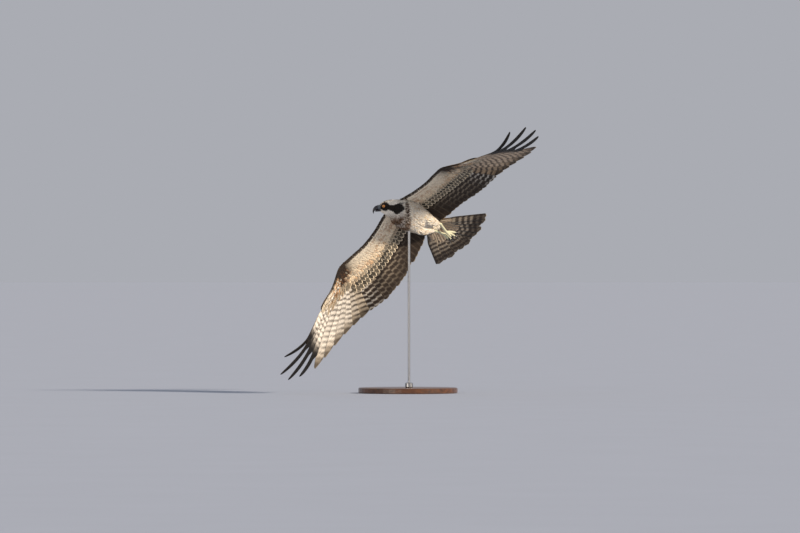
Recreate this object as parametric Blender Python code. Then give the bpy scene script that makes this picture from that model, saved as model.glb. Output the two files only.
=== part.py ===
# A life-size osprey in banking flight, held on a plain display stand.
# The bird is worked out in its own frame, +X towards the bill, +Y to its left and +Z to its back, and the
# whole bird is then turned at once: it climbs, banks to its right and keeps its head level.

import math

import bmesh
import bpy
import numpy as np
from mathutils import Matrix, Vector

# Heading, climb and bank of the trunk, in degrees, and the place of its middle over the floor
BIRD_ATTITUDE = (224.0, 18.0, 44.8)
BIRD_PLACE = Vector((0.0, 0.0, 0.715))

# The pair of wings is pitched and rolled a little against the trunk, about a place just below its middle
WINGS_ATTITUDE = (219.5, 25.9, 48.1)
WINGS_SHIFT = Vector((-0.005, 0.0, -0.013))

# Gap between two solids that meet, and the smallest thickness of a feather's edge
GAP = 0.0004
EDGE = 0.0008

# Colour, roughness and metallic value of each kind of surface
LOOKS = {
    "trunk": ((0.76, 0.70, 0.60), 0.85, 0.0),
    "neck": ((0.62, 0.54, 0.44), 0.85, 0.0),
    "head": ((0.80, 0.76, 0.70), 0.85, 0.0),
    "eye": ((0.75, 0.42, 0.05), 0.10, 0.0),
    "bill": ((0.03, 0.03, 0.035), 0.30, 0.0),
    "arm": ((0.42, 0.34, 0.26), 0.80, 0.0),
    "hand": ((0.36, 0.30, 0.24), 0.80, 0.0),
    "finger": ((0.11, 0.085, 0.07), 0.70, 0.0),
    "tail": ((0.45, 0.38, 0.30), 0.80, 0.0),
    "thigh": ((0.78, 0.72, 0.62), 0.90, 0.0),
    "scales": ((0.62, 0.62, 0.55), 0.70, 0.0),
    "claw": ((0.02, 0.02, 0.022), 0.30, 0.0),
    "wood": ((0.20, 0.11, 0.06), 0.40, 0.0),
    "steel": ((0.60, 0.60, 0.60), 0.30, 1.0),
    "cutter": ((0.50, 0.50, 0.50), 0.50, 0.0),
}

# Trunk from the tail's root to the neck: x, middle's height, half width, half height above and below
TRUNK = [
    (-0.178, 0.004, 0.019, 0.009, 0.011),
    (-0.150, 0.003, 0.031, 0.017, 0.020),
    (-0.116, 0.001, 0.044, 0.029, 0.033),
    (-0.074, 0.000, 0.055, 0.041, 0.046),
    (-0.030, 0.000, 0.062, 0.050, 0.057),
    (0.010, 0.000, 0.063, 0.053, 0.060),
    (0.040, 0.000, 0.057, 0.049, 0.055),
    (0.064, 0.000, 0.046, 0.041, 0.045),
]
TRUNK_RINGS = 15
BODY_SIDES = 20

# Head's middle in the bird's frame, and its own heading, climb and bank over the floor, in degrees
HEAD_PLACE = Vector((0.120, -0.004, 0.004))
HEAD_ATTITUDE = (196.0, -8.0, 0.0)

# Head from the nape to the bill's root, in the head's frame, in the trunk's columns
HEAD = [
    (-0.030, 0.0000, 0.0280, 0.0256, 0.0590),
    (-0.020, 0.0000, 0.0275, 0.0262, 0.0560),
    (-0.008, 0.0000, 0.0258, 0.0262, 0.0500),
    (0.004, -0.0004, 0.0230, 0.0250, 0.0410),
    (0.014, -0.0010, 0.0188, 0.0226, 0.0315),
    (0.023, -0.0018, 0.0144, 0.0190, 0.0225),
    (0.031, -0.0026, 0.0104, 0.0140, 0.0148),
]
HEAD_RINGS = 11
# The throat's plumage stands out below the neck, forwards and down in the head's frame
THROAT_WAY = Vector((0.5, 0.0, -0.85))
THROAT_BULGE = 0.018
NECK_RINGS = 9
EYE_PLACE = Vector((0.0150, 0.0108, 0.0030))
EYE_RADIUS = 0.0080
EYE_SIDES = 14
EYE_ROWS = 9

# Halves of the bill, in the head's frame: x, z, half width, half height above and below
BILL_UPPER = [
    (0.0316, -0.0004, 0.0092, 0.0108, 0.0062),
    (0.0400, -0.0004, 0.0079, 0.0100, 0.0058),
    (0.0475, -0.0016, 0.0064, 0.0084, 0.0052),
    (0.0535, -0.0050, 0.0049, 0.0060, 0.0042),
    (0.0575, -0.0105, 0.0033, 0.0038, 0.0032),
    (0.0588, -0.0165, 0.0019, 0.0021, 0.0019),
    (0.0578, -0.0220, 0.0005, 0.0005, 0.0005),
]
BILL_LOWER = [
    (0.0316, -0.0108, 0.0080, 0.0032, 0.0048),
    (0.0400, -0.0108, 0.0067, 0.0030, 0.0042),
    (0.0465, -0.0112, 0.0048, 0.0024, 0.0034),
    (0.0508, -0.0120, 0.0025, 0.0011, 0.0016),
]
BILL_RINGS = 9
BILL_SIDES = 12

# Wing laid out flat: the first number runs outwards from the shoulder, the second forwards
SHOULDER = Vector((0.022, 0.040, 0.026))
WRIST = 0.288
FRONT_EDGE = [
    (-0.030, 0.044), (0.00, 0.048), (0.07, 0.044), (0.15, 0.052), (0.23, 0.078),
    (0.288, 0.097), (0.34, 0.092), (0.41, 0.088),
]
REAR_EDGE = [(-0.030, -0.150), (0.06, -0.166), (0.16, -0.166), (0.26, -0.155), (0.372, -0.134)]
SECONDARIES = 17
# Slope of each wing along its span, and raising of the chord's front, in degrees at a distance outwards
DROOP = {
    1: [(-0.03, -8.0), (0.07, -14.0), (0.28, -28.0), (0.40, -30.0), (0.55, -32.0), (0.70, -27.0), (0.82, -25.0)],
    -1: [(-0.03, -12.0), (0.07, -22.0), (0.28, -25.0), (0.40, -24.0), (0.55, -33.0), (0.70, -37.0), (0.82, -38.0)],
}
TWIST = {
    1: [(-0.03, 4.0), (0.10, -4.0), (0.28, -9.0), (0.40, -18.0), (0.52, -24.0), (0.82, -25.0)],
    -1: [(-0.03, 10.0), (0.10, 13.0), (0.26, 12.0), (0.40, -8.0), (0.52, -22.0), (0.82, -26.0)],
}
CAMBER = 0.055

# Primaries from the innermost, P1, to the outermost, P10: root, length, and degrees back from straight
# outwards; the free fingers are the last four, which leave the hand at a share of their length
PRIMARIES = [
    (0.290, 0.082, 0.242, 61.5, 1.0),
    (0.302, 0.084, 0.254, 55.0, 1.0),
    (0.315, 0.085, 0.270, 48.0, 1.0),
    (0.329, 0.085, 0.291, 39.5, 1.0),
    (0.343, 0.085, 0.318, 30.0, 1.0),
    (0.357, 0.084, 0.346, 20.0, 1.0),
    (0.369, 0.082, 0.380, 10.5, 0.72),
    (0.380, 0.080, 0.403, 1.0, 0.61),
    (0.388, 0.077, 0.401, -8.0, 0.56),
    (0.395, 0.074, 0.328, -13.0, 0.60),
]
FINGERS = (7, 8, 9, 10)
FINGER_WIDTH = {7: 0.028, 8: 0.025, 9: 0.022, 10: 0.018}
FINGER_SHARES = (0.0, 0.12, 0.32, 0.52, 0.70, 0.85, 0.95, 1.0)
# How far P9's tip bends up on each wing; the others bend by how far outside P4 they are
FINGER_RISE = {1: 0.036, -1: 0.044}
RISE_NONE = 4
RISE_WHOLE = 9
# A finger is at its full width at this share of its length, and from there loses a share of it to the tip
FINGER_FULL = 0.5
FINGER_ROUND = 0.97
FINGER_CLEAR = 0.0013
FINGER_RIDGE = 1.6
NOTCH = 0.006

# Profile of a wing or tail section: share of its length, and share of its greatest depth
PROFILE = [(0.0, 0.0), (0.03, 0.55), (0.10, 0.95), (0.22, 1.0), (0.50, 0.34), (1.0, 0.0)]
# Greatest depth of the arm, and what it loses by the wrist; the same for the hand, feather by feather
ARM_DEPTH = 0.017
ARM_THINNING = 0.006
HAND_DEPTH = 0.010
HAND_THINNING = 0.0004
# The hand's sections start this far outside the feathers' roots
HAND_LEAD = 0.0035
TAIL_DEPTH = 0.008

# Tail: a fan of twelve feathers
RECTRICES = 12
TAIL_ROOT = Vector((-0.090, 0.0, 0.004))
TAIL_START = 0.030
TAIL_LENGTH = 0.278
TAIL_SPREAD = 33.7
TAIL_RAISE = 4.0
TAIL_FALL = 0.012
TAIL_ROUND = 0.018

# Legs, trailing under the tail, in the bird's frame: hip, heel, foot and the tips of the four toes
LEGS = {
    "left": ((-0.062, 0.036, -0.030), (-0.120, 0.048, -0.040), (-0.176, 0.030, -0.046)),
    "right": ((-0.062, -0.018, -0.036), (-0.128, 0.009, -0.039), (-0.189, 0.007, -0.028)),
}
THIGH = [(0.0, 0.026), (0.45, 0.021), (1.0, 0.0085)]
THIGH_SIDES = 16
# Places along the shank, as shares of it, and its thickness there as a share of the radius
TARSUS_RADIUS = 0.0058
SHANK = [(0.15, 1.0), (0.50, 0.9), (0.90, 1.05), (1.0, 1.2)]
KNEE = 1.15
SHANK_SIDES = 12
TOES = [(-0.044, 0.014, 0.004), (-0.046, 0.003, -0.006), (-0.041, -0.010, 0.002), (-0.022, -0.002, -0.016)]
TOE_RADIUS = 0.0045
TOE_TAPER = (1.1, 1.0, 0.7)
TOE_ARCH = Vector((0.0, 0.0, 0.003))
TOE_ROOT = 0.002
TOE_SIDES = 8
# A claw is an arc of this length and turn, in radians, from its root's radius to its point's
CLAW_LENGTH = 0.024
CLAW_BEND = 1.25
CLAW_ROOT = 0.0033
CLAW_POINT = 0.0003
CLAW_RINGS = 6

# Display stand
BASE_RADIUS = 0.200
BASE_HEIGHT = 0.022
BASE_BEVEL = 0.003
ROD_RADIUS = 0.0050
ROD_PLACE = Vector((0.004, -0.006, 0.0))
COLLAR_RADIUS = 0.016
COLLAR_HEIGHT = 0.020
BASE_SIDES = 48
COLLAR_SIDES = 24
ROD_SIDES = 16


def smooth(table, at):
    # A row of a table, whose first column is the place, read along a smooth curve through its rows
    rows = np.array(table, float)
    x, y = rows[:, 0], rows[:, 1:]
    slope = np.gradient(y, x, axis=0)
    i = int(np.clip(np.searchsorted(x, at) - 1, 0, len(x) - 2))
    h = x[i + 1] - x[i]
    t = float(np.clip((at - x[i]) / h, 0.0, 1.0))
    value = y[i] * (1 + 2 * t) * (1 - t) ** 2 + y[i + 1] * t * t * (3 - 2 * t)
    return value + h * (slope[i] * t * (1 - t) ** 2 - slope[i + 1] * t * t * (1 - t))


def attitude(heading, climb, bank):
    return (
        Matrix.Rotation(math.radians(heading), 3, "Z")
        @ Matrix.Rotation(math.radians(-climb), 3, "Y")
        @ Matrix.Rotation(math.radians(bank), 3, "X")
    )


BIRD = attitude(*BIRD_ATTITUDE)
WINGS = attitude(*WINGS_ATTITUDE)
HEAD_TURN = BIRD.transposed() @ attitude(*HEAD_ATTITUDE)

SPAN = np.linspace(DROOP[1][0][0], DROOP[1][-1][0], 171)


def bent_span(side):
    # Where the bent wing's span line runs to the side and up, so that the wing keeps its length
    slopes = np.radians([smooth(DROOP[side], s)[0] for s in SPAN])
    lengths = np.cumsum([np.cos(slopes), np.sin(slopes)], axis=1) * (SPAN[1] - SPAN[0])
    return lengths - [[np.interp(0.0, SPAN, run)] for run in lengths]


BENT = {side: bent_span(side) for side in (1, -1)}


def on_wing(out, forward, height, side):
    # A point of the flat layout, bent and twisted as the wing is, in the bird's frame
    droop = math.radians(smooth(DROOP[side], out)[0])
    twist = math.radians(smooth(TWIST[side], out)[0])
    up = Vector((0.0, -math.sin(droop), math.cos(droop)))
    chord = Vector((math.cos(twist), 0.0, 0.0)) + up * math.sin(twist)
    normal = up * math.cos(twist) - Vector((math.sin(twist), 0.0, 0.0))
    start = SHOULDER + Vector((0.0, *(np.interp(out, SPAN, run) for run in BENT[side])))
    place = start + chord * forward + normal * height
    return Vector((place.x, side * place.y, place.z))


def material(name, colour, roughness, metallic):
    made = bpy.data.materials.new(name)
    made.use_nodes = True
    made.diffuse_color = (*colour, 1.0)
    shader = made.node_tree.nodes["Principled BSDF"]
    shader.inputs["Base Color"].default_value = (*colour, 1.0)
    shader.inputs["Roughness"].default_value = roughness
    shader.inputs["Metallic"].default_value = metallic
    return made


def piece(name, rings, look, place=None, sharp=30.0):
    # One closed solid through rings of equally many points, each end closed by a strip from side to side
    mesh = bmesh.new()
    rows = [[mesh.verts.new(place(p) if place else p) for p in ring] for ring in rings]
    for near, far in zip(rows, rows[1:]):
        for i in range(len(near)):
            j = (i + 1) % len(near)
            mesh.faces.new((near[i], near[j], far[j], far[i]))
    for row in (rows[0], rows[-1]):
        first = len(row) % 2
        if first:
            mesh.faces.new((row[0], row[1], row[-1]))
        for i in range(first, len(row) // 2 + first - 1):
            j = len(row) - 1 + first - i
            mesh.faces.new((row[i], row[i + 1], row[j - 1], row[j]))
    bmesh.ops.recalc_face_normals(mesh, faces=mesh.faces)
    data = bpy.data.meshes.new(name)
    mesh.to_mesh(data)
    mesh.free()
    made = bpy.data.objects.new(name, data)
    bpy.context.collection.objects.link(made)
    made.data.materials.append(material(name, *LOOKS[look]))
    made.data.shade_smooth()
    made.data.set_sharp_from_angle(angle=math.radians(sharp))
    return made


def cutter(name, rings, place=None):
    made = piece(name, rings, "cutter", place)
    made.hide_render = True
    made.display_type = "WIRE"
    return made


def combine(target, other, operation):
    change = target.modifiers.new(operation.lower(), "BOOLEAN")
    change.operation = operation
    change.solver = "EXACT"
    change.object = other


def in_room(point):
    return BIRD_PLACE + BIRD @ Vector(point)


def in_wings(point):
    return BIRD_PLACE + WINGS_SHIFT + WINGS @ Vector(point)


def in_head(point):
    return in_room(HEAD_PLACE + HEAD_TURN @ Vector(point))


def oval(x, z, half_width, above, below, sides, grow=0.0):
    # A ring across the X axis, with its own half heights above and below
    ring = []
    for i in range(sides):
        turn = 2 * math.pi * i / sides
        height = above if math.sin(turn) > 0 else below
        ring.append(Vector((x, (half_width + grow) * math.cos(turn), z + (height + grow) * math.sin(turn))))
    return ring


def body_rings(table, count, sides, grow=0.0):
    places = np.linspace(table[0][0] - grow, table[-1][0] + grow, count)
    return [oval(x, *smooth(table, x), sides, grow) for x in places]


def tube(path, radii, sides):
    # Rings square to a path of points
    rings = []
    for i, point in enumerate(path):
        along = (path[min(i + 1, len(path) - 1)] - path[max(i - 1, 0)]).normalized()
        across = along.cross(Vector((0.0, 0.0, 1.0))).normalized()
        over = across.cross(along)
        turns = [2 * math.pi * k / sides for k in range(sides)]
        rings.append([point + (across * math.cos(t) + over * math.sin(t)) * radii[i] for t in turns])
    return rings


def ball(radius, middle, sides, rows):
    rings = []
    for i in range(1, rows):
        turn = math.pi * i / rows
        ring = oval(-radius * math.cos(turn), 0.0, *[radius * math.sin(turn)] * 3, sides)
        rings.append([Vector(middle) + p for p in ring])
    return rings


def blade_ring(front, rear, depth, camber, side):
    # A section of a wing between two points of the flat layout, its arch rising towards the back
    front, rear = Vector(front), Vector(rear)
    length = (rear - front).length
    ring = []
    for sign, shares in ((1, PROFILE), (-1, PROFILE[:0:-1])):
        for share, deep in shares:
            half = max(depth * deep, EDGE) / 2 if share > 0 else 0.0
            spot = front + (rear - front) * share
            arch = camber * length * 4 * share * (1 - share)
            ring.append(on_wing(spot.x, spot.y, arch + sign * half, side))
    return ring


def front_at(out):
    return (out, smooth(FRONT_EDGE, out)[0])


def wing_arm(side, name):
    rings = []
    steps = 2 * SECONDARIES
    inner = REAR_EDGE[0][0]
    for i in range(steps + 1):
        share = i / steps
        front = front_at(inner + (WRIST - GAP - inner) * share)
        out = inner + (REAR_EDGE[-1][0] - GAP - inner) * share
        back = smooth(REAR_EDGE, out)[0] + (0.0 if i % 2 else NOTCH)
        rings.append(blade_ring(front, (out, back), ARM_DEPTH - ARM_THINNING * share, CAMBER, side))
    return piece(name, rings, "arm", in_wings)


def primary_line(number, share):
    out, forward, length, back, _ = PRIMARIES[number - 1]
    turn = math.radians(back)
    return (out + length * share * math.cos(turn), forward - length * share * math.sin(turn))


def hand_edge(number, place):
    # The hand's outline at a primary: at its shaft, or half way to the next one inwards or outwards
    out, forward, _, back, leaves = PRIMARIES[number - 1]
    shaft = Vector(primary_line(number, leaves))
    if place == 0:
        return shaft
    if place == -1:
        return hand_edge(number - 1, 1)
    if number == 10:
        turn = math.radians(back)
        return shaft + Vector((math.sin(turn), math.cos(turn))) * FINGER_WIDTH[10] / 2
    next_one = Vector(primary_line(number + 1, PRIMARIES[number][4]))
    inwards = Vector((out, forward)) - shaft
    return (shaft + next_one) / 2 + inwards.normalized() * NOTCH


def hand_rings(side):
    # Sections from the wrist outwards, flatter towards the tip
    corner = (REAR_EDGE[-1][0], REAR_EDGE[-1][1] + NOTCH)
    rings = [blade_ring(front_at(WRIST), corner, ARM_DEPTH - ARM_THINNING, CAMBER, side)]
    for number in range(1, 11):
        out = PRIMARIES[number - 1][0]
        ahead = PRIMARIES[min(number, 9)][0]
        depth = HAND_DEPTH - HAND_THINNING * number
        camber = CAMBER * (1 - number / 12)
        rings.append(blade_ring(front_at(out + HAND_LEAD), hand_edge(number, 0), depth, camber, side))
        middle = (out + ahead) / 2 + HAND_LEAD
        rings.append(blade_ring(front_at(middle), hand_edge(number, 1), depth, camber, side))
    return rings


def wing_hand(side, name):
    return piece(name, hand_rings(side), "hand", in_wings)


def finger_root(number, place, along):
    # A finger starts along the hand's outline, just clear of it
    tip = hand_edge(number, 0)
    if place == 0:
        return tip + along * 2 * FINGER_CLEAR
    corner = hand_edge(number, place)
    edge = (tip - corner).normalized()
    outwards = Vector((edge.y, -edge.x))
    if outwards.dot(along) < 0:
        outwards.negate()
    return corner + (outwards + edge) * FINGER_CLEAR


def finger(side, name, number):
    # A free feather beyond the hand, rising towards the back under the air's load
    _, _, length, back, leaves = PRIMARIES[number - 1]
    turn = math.radians(back)
    across = Vector((math.sin(turn), math.cos(turn)))
    along = Vector((math.cos(turn), -math.sin(turn)))
    root = finger_root(number, 0, along)
    rings = []
    for share in FINGER_SHARES:
        reach = length * (1.0 - leaves) * share
        grow = min(1.0, share / FINGER_FULL)
        past = max(0.0, share - FINGER_FULL) / (1.0 - FINGER_FULL)
        taper = math.sqrt(1.0 - FINGER_ROUND * past ** 2)
        rise = FINGER_RISE[side] * share ** 2 * (number - RISE_NONE) / (RISE_WHOLE - RISE_NONE)
        ring = []
        for place, sign in ((-1, 1), (0, 1), (1, 1), (1, -1), (0, -1), (-1, -1)):
            corner = finger_root(number, place, along) - root
            half = corner.dot(across) * (1 - grow) + FINGER_WIDTH[number] / 2 * place * grow
            ahead = reach + corner.dot(along) * (1 - share) ** 2
            spot = root + along * ahead + across * half * taper
            thick = EDGE / 2 * (1.0 if place else FINGER_RIDGE)
            ring.append(on_wing(spot.x, spot.y, rise + sign * thick, side))
        rings.append(ring)
    return piece(name, rings, "finger", in_wings)


def tail_rings():
    rings = []
    steps = 2 * RECTRICES
    for i in range(steps + 1):
        place = 2 * i / steps - 1
        turn = math.radians(TAIL_SPREAD) * place
        away = Vector((-math.cos(turn), math.sin(turn), 0.0))
        length = TAIL_LENGTH - (0.0 if i % 2 else NOTCH) + TAIL_ROUND * (1 - abs(place))
        ring = []
        for sign, shares in ((1, PROFILE), (-1, PROFILE[:0:-1])):
            for share, deep in shares:
                half = max(TAIL_DEPTH * deep, EDGE) / 2 if share > 0 else 0.0
                reach = TAIL_START + (length - TAIL_START) * share
                rise = math.tan(math.radians(TAIL_RAISE)) * reach - TAIL_FALL * share * place ** 2
                ring.append(TAIL_ROOT + away * reach + Vector((0.0, 0.0, rise + sign * half)))
        rings.append(ring)
    return rings


def neck():
    # The neck turns from the trunk's front ring to the nape's, which looks another way
    front = TRUNK[-1]
    nape = HEAD[0]
    start = [Vector((GAP, 0.0, 0.0)) + p for p in oval(*front, BODY_SIDES)]
    end = [HEAD_PLACE + HEAD_TURN @ (p - Vector((GAP, 0.0, 0.0))) for p in oval(*nape, BODY_SIDES)]

    def stretch(turn):
        return sum((start[i] - end[(i + turn) % BODY_SIDES]).length for i in range(BODY_SIDES))

    shift = min(range(BODY_SIDES), key=stretch)
    throat = (HEAD_TURN @ THROAT_WAY).normalized()
    rings = []
    for share in np.linspace(0.0, 1.0, NECK_RINGS):
        ring = [start[i].lerp(end[(i + shift) % BODY_SIDES], share) for i in range(BODY_SIDES)]
        middle = sum(ring, Vector()) / BODY_SIDES
        bulge = THROAT_BULGE * math.sin(math.pi * share)
        rings.append([p + throat * bulge * max(0.0, (p - middle).normalized().dot(throat)) for p in ring])
    return piece("neck", rings, "neck", in_room)


def eyes(head):
    for name, side in (("eye_left", 1), ("eye_right", -1)):
        middle = (EYE_PLACE.x, side * EYE_PLACE.y, EYE_PLACE.z)
        piece(name, ball(EYE_RADIUS, middle, EYE_SIDES, EYE_ROWS), "eye", in_head)
        socket = ball(EYE_RADIUS + GAP, middle, EYE_SIDES, EYE_ROWS)
        combine(head, cutter("socket_" + name, socket, in_head), "DIFFERENCE")


def bill(name, table):
    indexed = [(i, *row) for i, row in enumerate(table)]
    last = len(table) - 1
    rings = []
    for share in np.linspace(0.0, last, BILL_RINGS):
        x, z, *sizes = smooth(indexed, share)
        before = smooth(indexed, max(share - 0.1, 0.0))
        after = smooth(indexed, min(share + 0.1, last))
        tip = math.atan2(before[1] - after[1], after[0] - before[0]) if share else 0.0
        turn = Matrix.Rotation(tip, 3, "Y")
        rings.append([Vector((x, 0.0, z)) + turn @ p for p in oval(0.0, 0.0, *sizes, BILL_SIDES)])
    return piece(name, rings, "bill", in_head)


def leg(side_name, trunk_cutter):
    hip, heel, foot = (Vector(p) for p in LEGS[side_name])
    places = np.linspace(0.0, 1.0, 6)
    thigh_path = [hip.lerp(heel, s) for s in places]
    thigh_rings = tube(thigh_path, [smooth(THIGH, s)[0] for s in places], THIGH_SIDES)
    thigh = piece("thigh_" + side_name, thigh_rings, "thigh", in_room)
    combine(thigh, trunk_cutter, "DIFFERENCE")

    down_leg = (heel - hip).normalized()
    start = heel + down_leg * GAP
    knee = start + down_leg * TARSUS_RADIUS
    shank = [start, knee] + [knee.lerp(foot, share) for share, _ in SHANK]
    widths = [TARSUS_RADIUS * k for k in (KNEE, KNEE, *(thick for _, thick in SHANK))]
    made = piece("leg_" + side_name, tube(shank, widths, SHANK_SIDES), "scales", in_room)
    mirror = 1 if side_name == "left" else -1
    for number, toe in enumerate(TOES, 1):
        reach = Vector((toe[0], mirror * toe[1], toe[2]))
        path = [foot - reach.normalized() * TOE_ROOT, foot + reach * 0.5 + TOE_ARCH, foot + reach]
        toe_rings = tube(path, [TOE_RADIUS * k for k in TOE_TAPER], TOE_SIDES)
        combine(made, cutter(f"toe_{side_name}_{number}", toe_rings, in_room), "UNION")
        claw(f"claw_{side_name}_{number}", foot + reach, (path[2] - path[1]).normalized())


def claw(name, start, along):
    down = (Vector((0.0, 0.0, -1.0)) + along * along.z).normalized()
    radius = CLAW_LENGTH / CLAW_BEND
    shares = np.linspace(0.0, 1.0, CLAW_RINGS)
    path = []
    for share in shares:
        bend = share * CLAW_BEND
        path.append(start + along * (GAP + radius * math.sin(bend)) + down * radius * (1 - math.cos(bend)))
    widths = [CLAW_POINT + (CLAW_ROOT - CLAW_POINT) * (1 - share) ** 0.8 for share in shares]
    piece(name, tube(path, widths, TOE_SIDES), "claw", in_room)


def disc(radius, low, high, sides, middle=(0.0, 0.0)):
    rings = []
    inner = radius - BASE_BEVEL
    for z, r in ((low, inner), (low + BASE_BEVEL, radius), (high - BASE_BEVEL, radius), (high, inner)):
        turns = [2 * math.pi * i / sides for i in range(sides)]
        rings.append([Vector((middle[0] + r * math.cos(t), middle[1] + r * math.sin(t), z)) for t in turns])
    return rings


def stand(trunk_cutter):
    piece("stand_base", disc(BASE_RADIUS, 0.0, BASE_HEIGHT, BASE_SIDES), "wood")
    low = BASE_HEIGHT + GAP
    high = low + COLLAR_HEIGHT
    bore = cutter("collar_bore", straight_rod(ROD_RADIUS + GAP, low - COLLAR_HEIGHT, high + COLLAR_HEIGHT))
    collar = piece("stand_collar", disc(COLLAR_RADIUS, low, high, COLLAR_SIDES, ROD_PLACE), "steel")
    combine(collar, bore, "DIFFERENCE")
    rod = piece("stand_rod", straight_rod(ROD_RADIUS, low, BIRD_PLACE.z), "steel")
    combine(rod, trunk_cutter, "DIFFERENCE")


def straight_rod(radius, low, high):
    turns = [2 * math.pi * i / ROD_SIDES for i in range(ROD_SIDES)]
    round_it = [ROD_PLACE + Vector((radius * math.cos(t), radius * math.sin(t), 0.0)) for t in turns]
    return [[p + Vector((0.0, 0.0, z)) for p in round_it] for z in (low, high)]


def build():
    for old in list(bpy.data.objects):
        bpy.data.objects.remove(old, do_unlink=True)

    piece("trunk", body_rings(TRUNK, TRUNK_RINGS, BODY_SIDES), "trunk", in_room)
    around_trunk = cutter("around_trunk", body_rings(TRUNK, TRUNK_RINGS, BODY_SIDES, GAP), in_room)
    neck()
    head = piece("head", body_rings(HEAD, HEAD_RINGS, BODY_SIDES), "head", in_head)
    eyes(head)
    bill("bill_upper", BILL_UPPER)
    bill("bill_lower", BILL_LOWER)
    for side, side_name in ((1, "left"), (-1, "right")):
        combine(wing_arm(side, "wing_arm_" + side_name), around_trunk, "DIFFERENCE")
        wing_hand(side, "wing_hand_" + side_name)
        for number in FINGERS:
            finger(side, f"primary_{number}_{side_name}", number)
        leg(side_name, around_trunk)
    combine(piece("tail", tail_rings(), "tail", in_room), around_trunk, "DIFFERENCE")
    stand(around_trunk)


build()
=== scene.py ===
# Osprey banking in flight, finished round the fixed frame: skin, feathers, bill, eyes, legs and display stand
import math

import bpy
import numpy as np
from mathutils import Matrix, Vector, noise
from mathutils.bvhtree import BVHTree


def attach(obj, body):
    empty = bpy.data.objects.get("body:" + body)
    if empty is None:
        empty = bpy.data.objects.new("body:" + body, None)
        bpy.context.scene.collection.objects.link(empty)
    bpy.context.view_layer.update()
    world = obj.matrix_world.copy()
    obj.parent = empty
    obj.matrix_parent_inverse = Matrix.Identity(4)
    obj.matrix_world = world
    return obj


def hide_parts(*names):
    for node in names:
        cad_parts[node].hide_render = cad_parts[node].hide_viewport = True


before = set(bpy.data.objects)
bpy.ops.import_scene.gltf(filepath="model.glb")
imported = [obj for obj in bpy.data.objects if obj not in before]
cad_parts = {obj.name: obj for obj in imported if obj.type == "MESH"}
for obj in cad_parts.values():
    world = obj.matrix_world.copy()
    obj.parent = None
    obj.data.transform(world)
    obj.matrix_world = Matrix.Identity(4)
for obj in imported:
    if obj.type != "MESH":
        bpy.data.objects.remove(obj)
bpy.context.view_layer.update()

rng = np.random.default_rng(11)

# The frame's own layout, repeated here: how the bird is turned and where its parts are
pose = {
    # heading, climb and bank in degrees, then places in metres
    "bird": (224.0, 18.0, 44.8), "wings": (219.5, 25.9, 48.1), "head": (196.0, -8.0, 0.0),
    "birdPlace": (0.0, 0.0, 0.715), "wingsShift": (-0.005, 0.0, -0.013), "headPlace": (0.120, -0.004, 0.004),
}


def attitude(heading, climb, bank):
    turn = Matrix.Rotation(math.radians(heading), 3, "Z") @ Matrix.Rotation(math.radians(-climb), 3, "Y")
    return np.array(turn @ Matrix.Rotation(math.radians(bank), 3, "X"))


birdTurn = attitude(*pose["bird"])
wingsTurn = attitude(*pose["wings"])
headTurn = birdTurn.T @ attitude(*pose["head"])
birdPlace, headPlace = np.array(pose["birdPlace"]), np.array(pose["headPlace"])


def inRoom(points):
    return birdPlace + np.asarray(points, float) @ birdTurn.T


def inWings(points):
    return birdPlace + pose["wingsShift"] + np.asarray(points, float) @ wingsTurn.T


def inHead(points):
    return inRoom(headPlace + np.asarray(points, float) @ headTurn.T)


def toBird(points):
    return (points - birdPlace) @ birdTurn


def toHead(points):
    return (toBird(points) - headPlace) @ headTurn


def smoothAt(table, at):  # the table's columns, read along a smooth curve through its rows
    rows = np.array(table, float)
    x, y = rows[:, 0], rows[:, 1:]
    slope = np.gradient(y, x, axis=0)
    at = np.atleast_1d(np.asarray(at, float))
    i = np.clip(np.searchsorted(x, at) - 1, 0, len(x) - 2)
    h = (x[i + 1] - x[i])[:, None]
    t = np.clip((at - x[i])[:, None] / h, 0.0, 1.0)
    value = y[i] * (1 + 2 * t) * (1 - t) ** 2 + y[i + 1] * t * t * (3 - 2 * t)
    return value + h * (slope[i] * t * (1 - t) ** 2 - slope[i + 1] * t * t * (1 - t))


def step(low, high, value):
    t = np.clip((value - low) / (high - low), 0.0, 1.0)
    return t * t * (3 - 2 * t)


def mix(a, b, share):  # a and b are colours, or names of colours in the plumage
    a, b = (plumage[c] if isinstance(c, str) else np.asarray(c) for c in (a, b))
    share = np.asarray(share)[..., None]
    return a * (1 - share) + b * share


def colour(text):  # sRGB hex to linear
    parts = [int(text[i:i + 2], 16) / 255 for i in (1, 3, 5)]
    return np.array([p / 12.92 if p <= 0.04045 else ((p + 0.055) / 1.055) ** 2.4 for p in parts])


plumage = {key: colour(text) for key, text in {
    "white": "#f4efe6", "cream": "#e9dec9", "buff": "#d9bd90", "rust": "#a06c3c", "orange": "#c98b45",
    "brown": "#4a3829", "dark": "#261c15", "black": "#0e0b09", "band": "#6b4a2a", "edge": "#8a7358",
    "barPale": "#a0927c", "barDark": "#2f261f", "tailPale": "#94897a", "greyPale": "#7d7263",
    # shade is a painted shade: the dark grey-brown of the tail coverts' lower faces
    "ovalEdge": "#cdbfa6", "shade": "#8b7f6f",
}.items()}


# Small helpers

def addNode(material, kind, settings=None, **sockets):
    made = material.node_tree.nodes.new(kind)
    for key, value in (settings or {}).items():
        setattr(made, key, value)
    for key, value in sockets.items():
        socket = made.inputs[int(key[1:])] if key[0] == "_" else made.inputs[key.replace("_", " ")]
        if isinstance(value, bpy.types.NodeSocket):
            material.node_tree.links.new(value, socket)
        else:
            socket.default_value = value
    return made.outputs


def newMaterial(name, **sockets):
    made = bpy.data.materials.new(name)
    made.use_nodes = True
    shader = made.node_tree.nodes["Principled BSDF"]
    for key, value in sockets.items():
        shader.inputs[key.replace("_", " ")].default_value = value
    return made, shader


def feed(material, shader, socket, output):
    material.node_tree.links.new(output, shader.inputs[socket])


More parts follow.
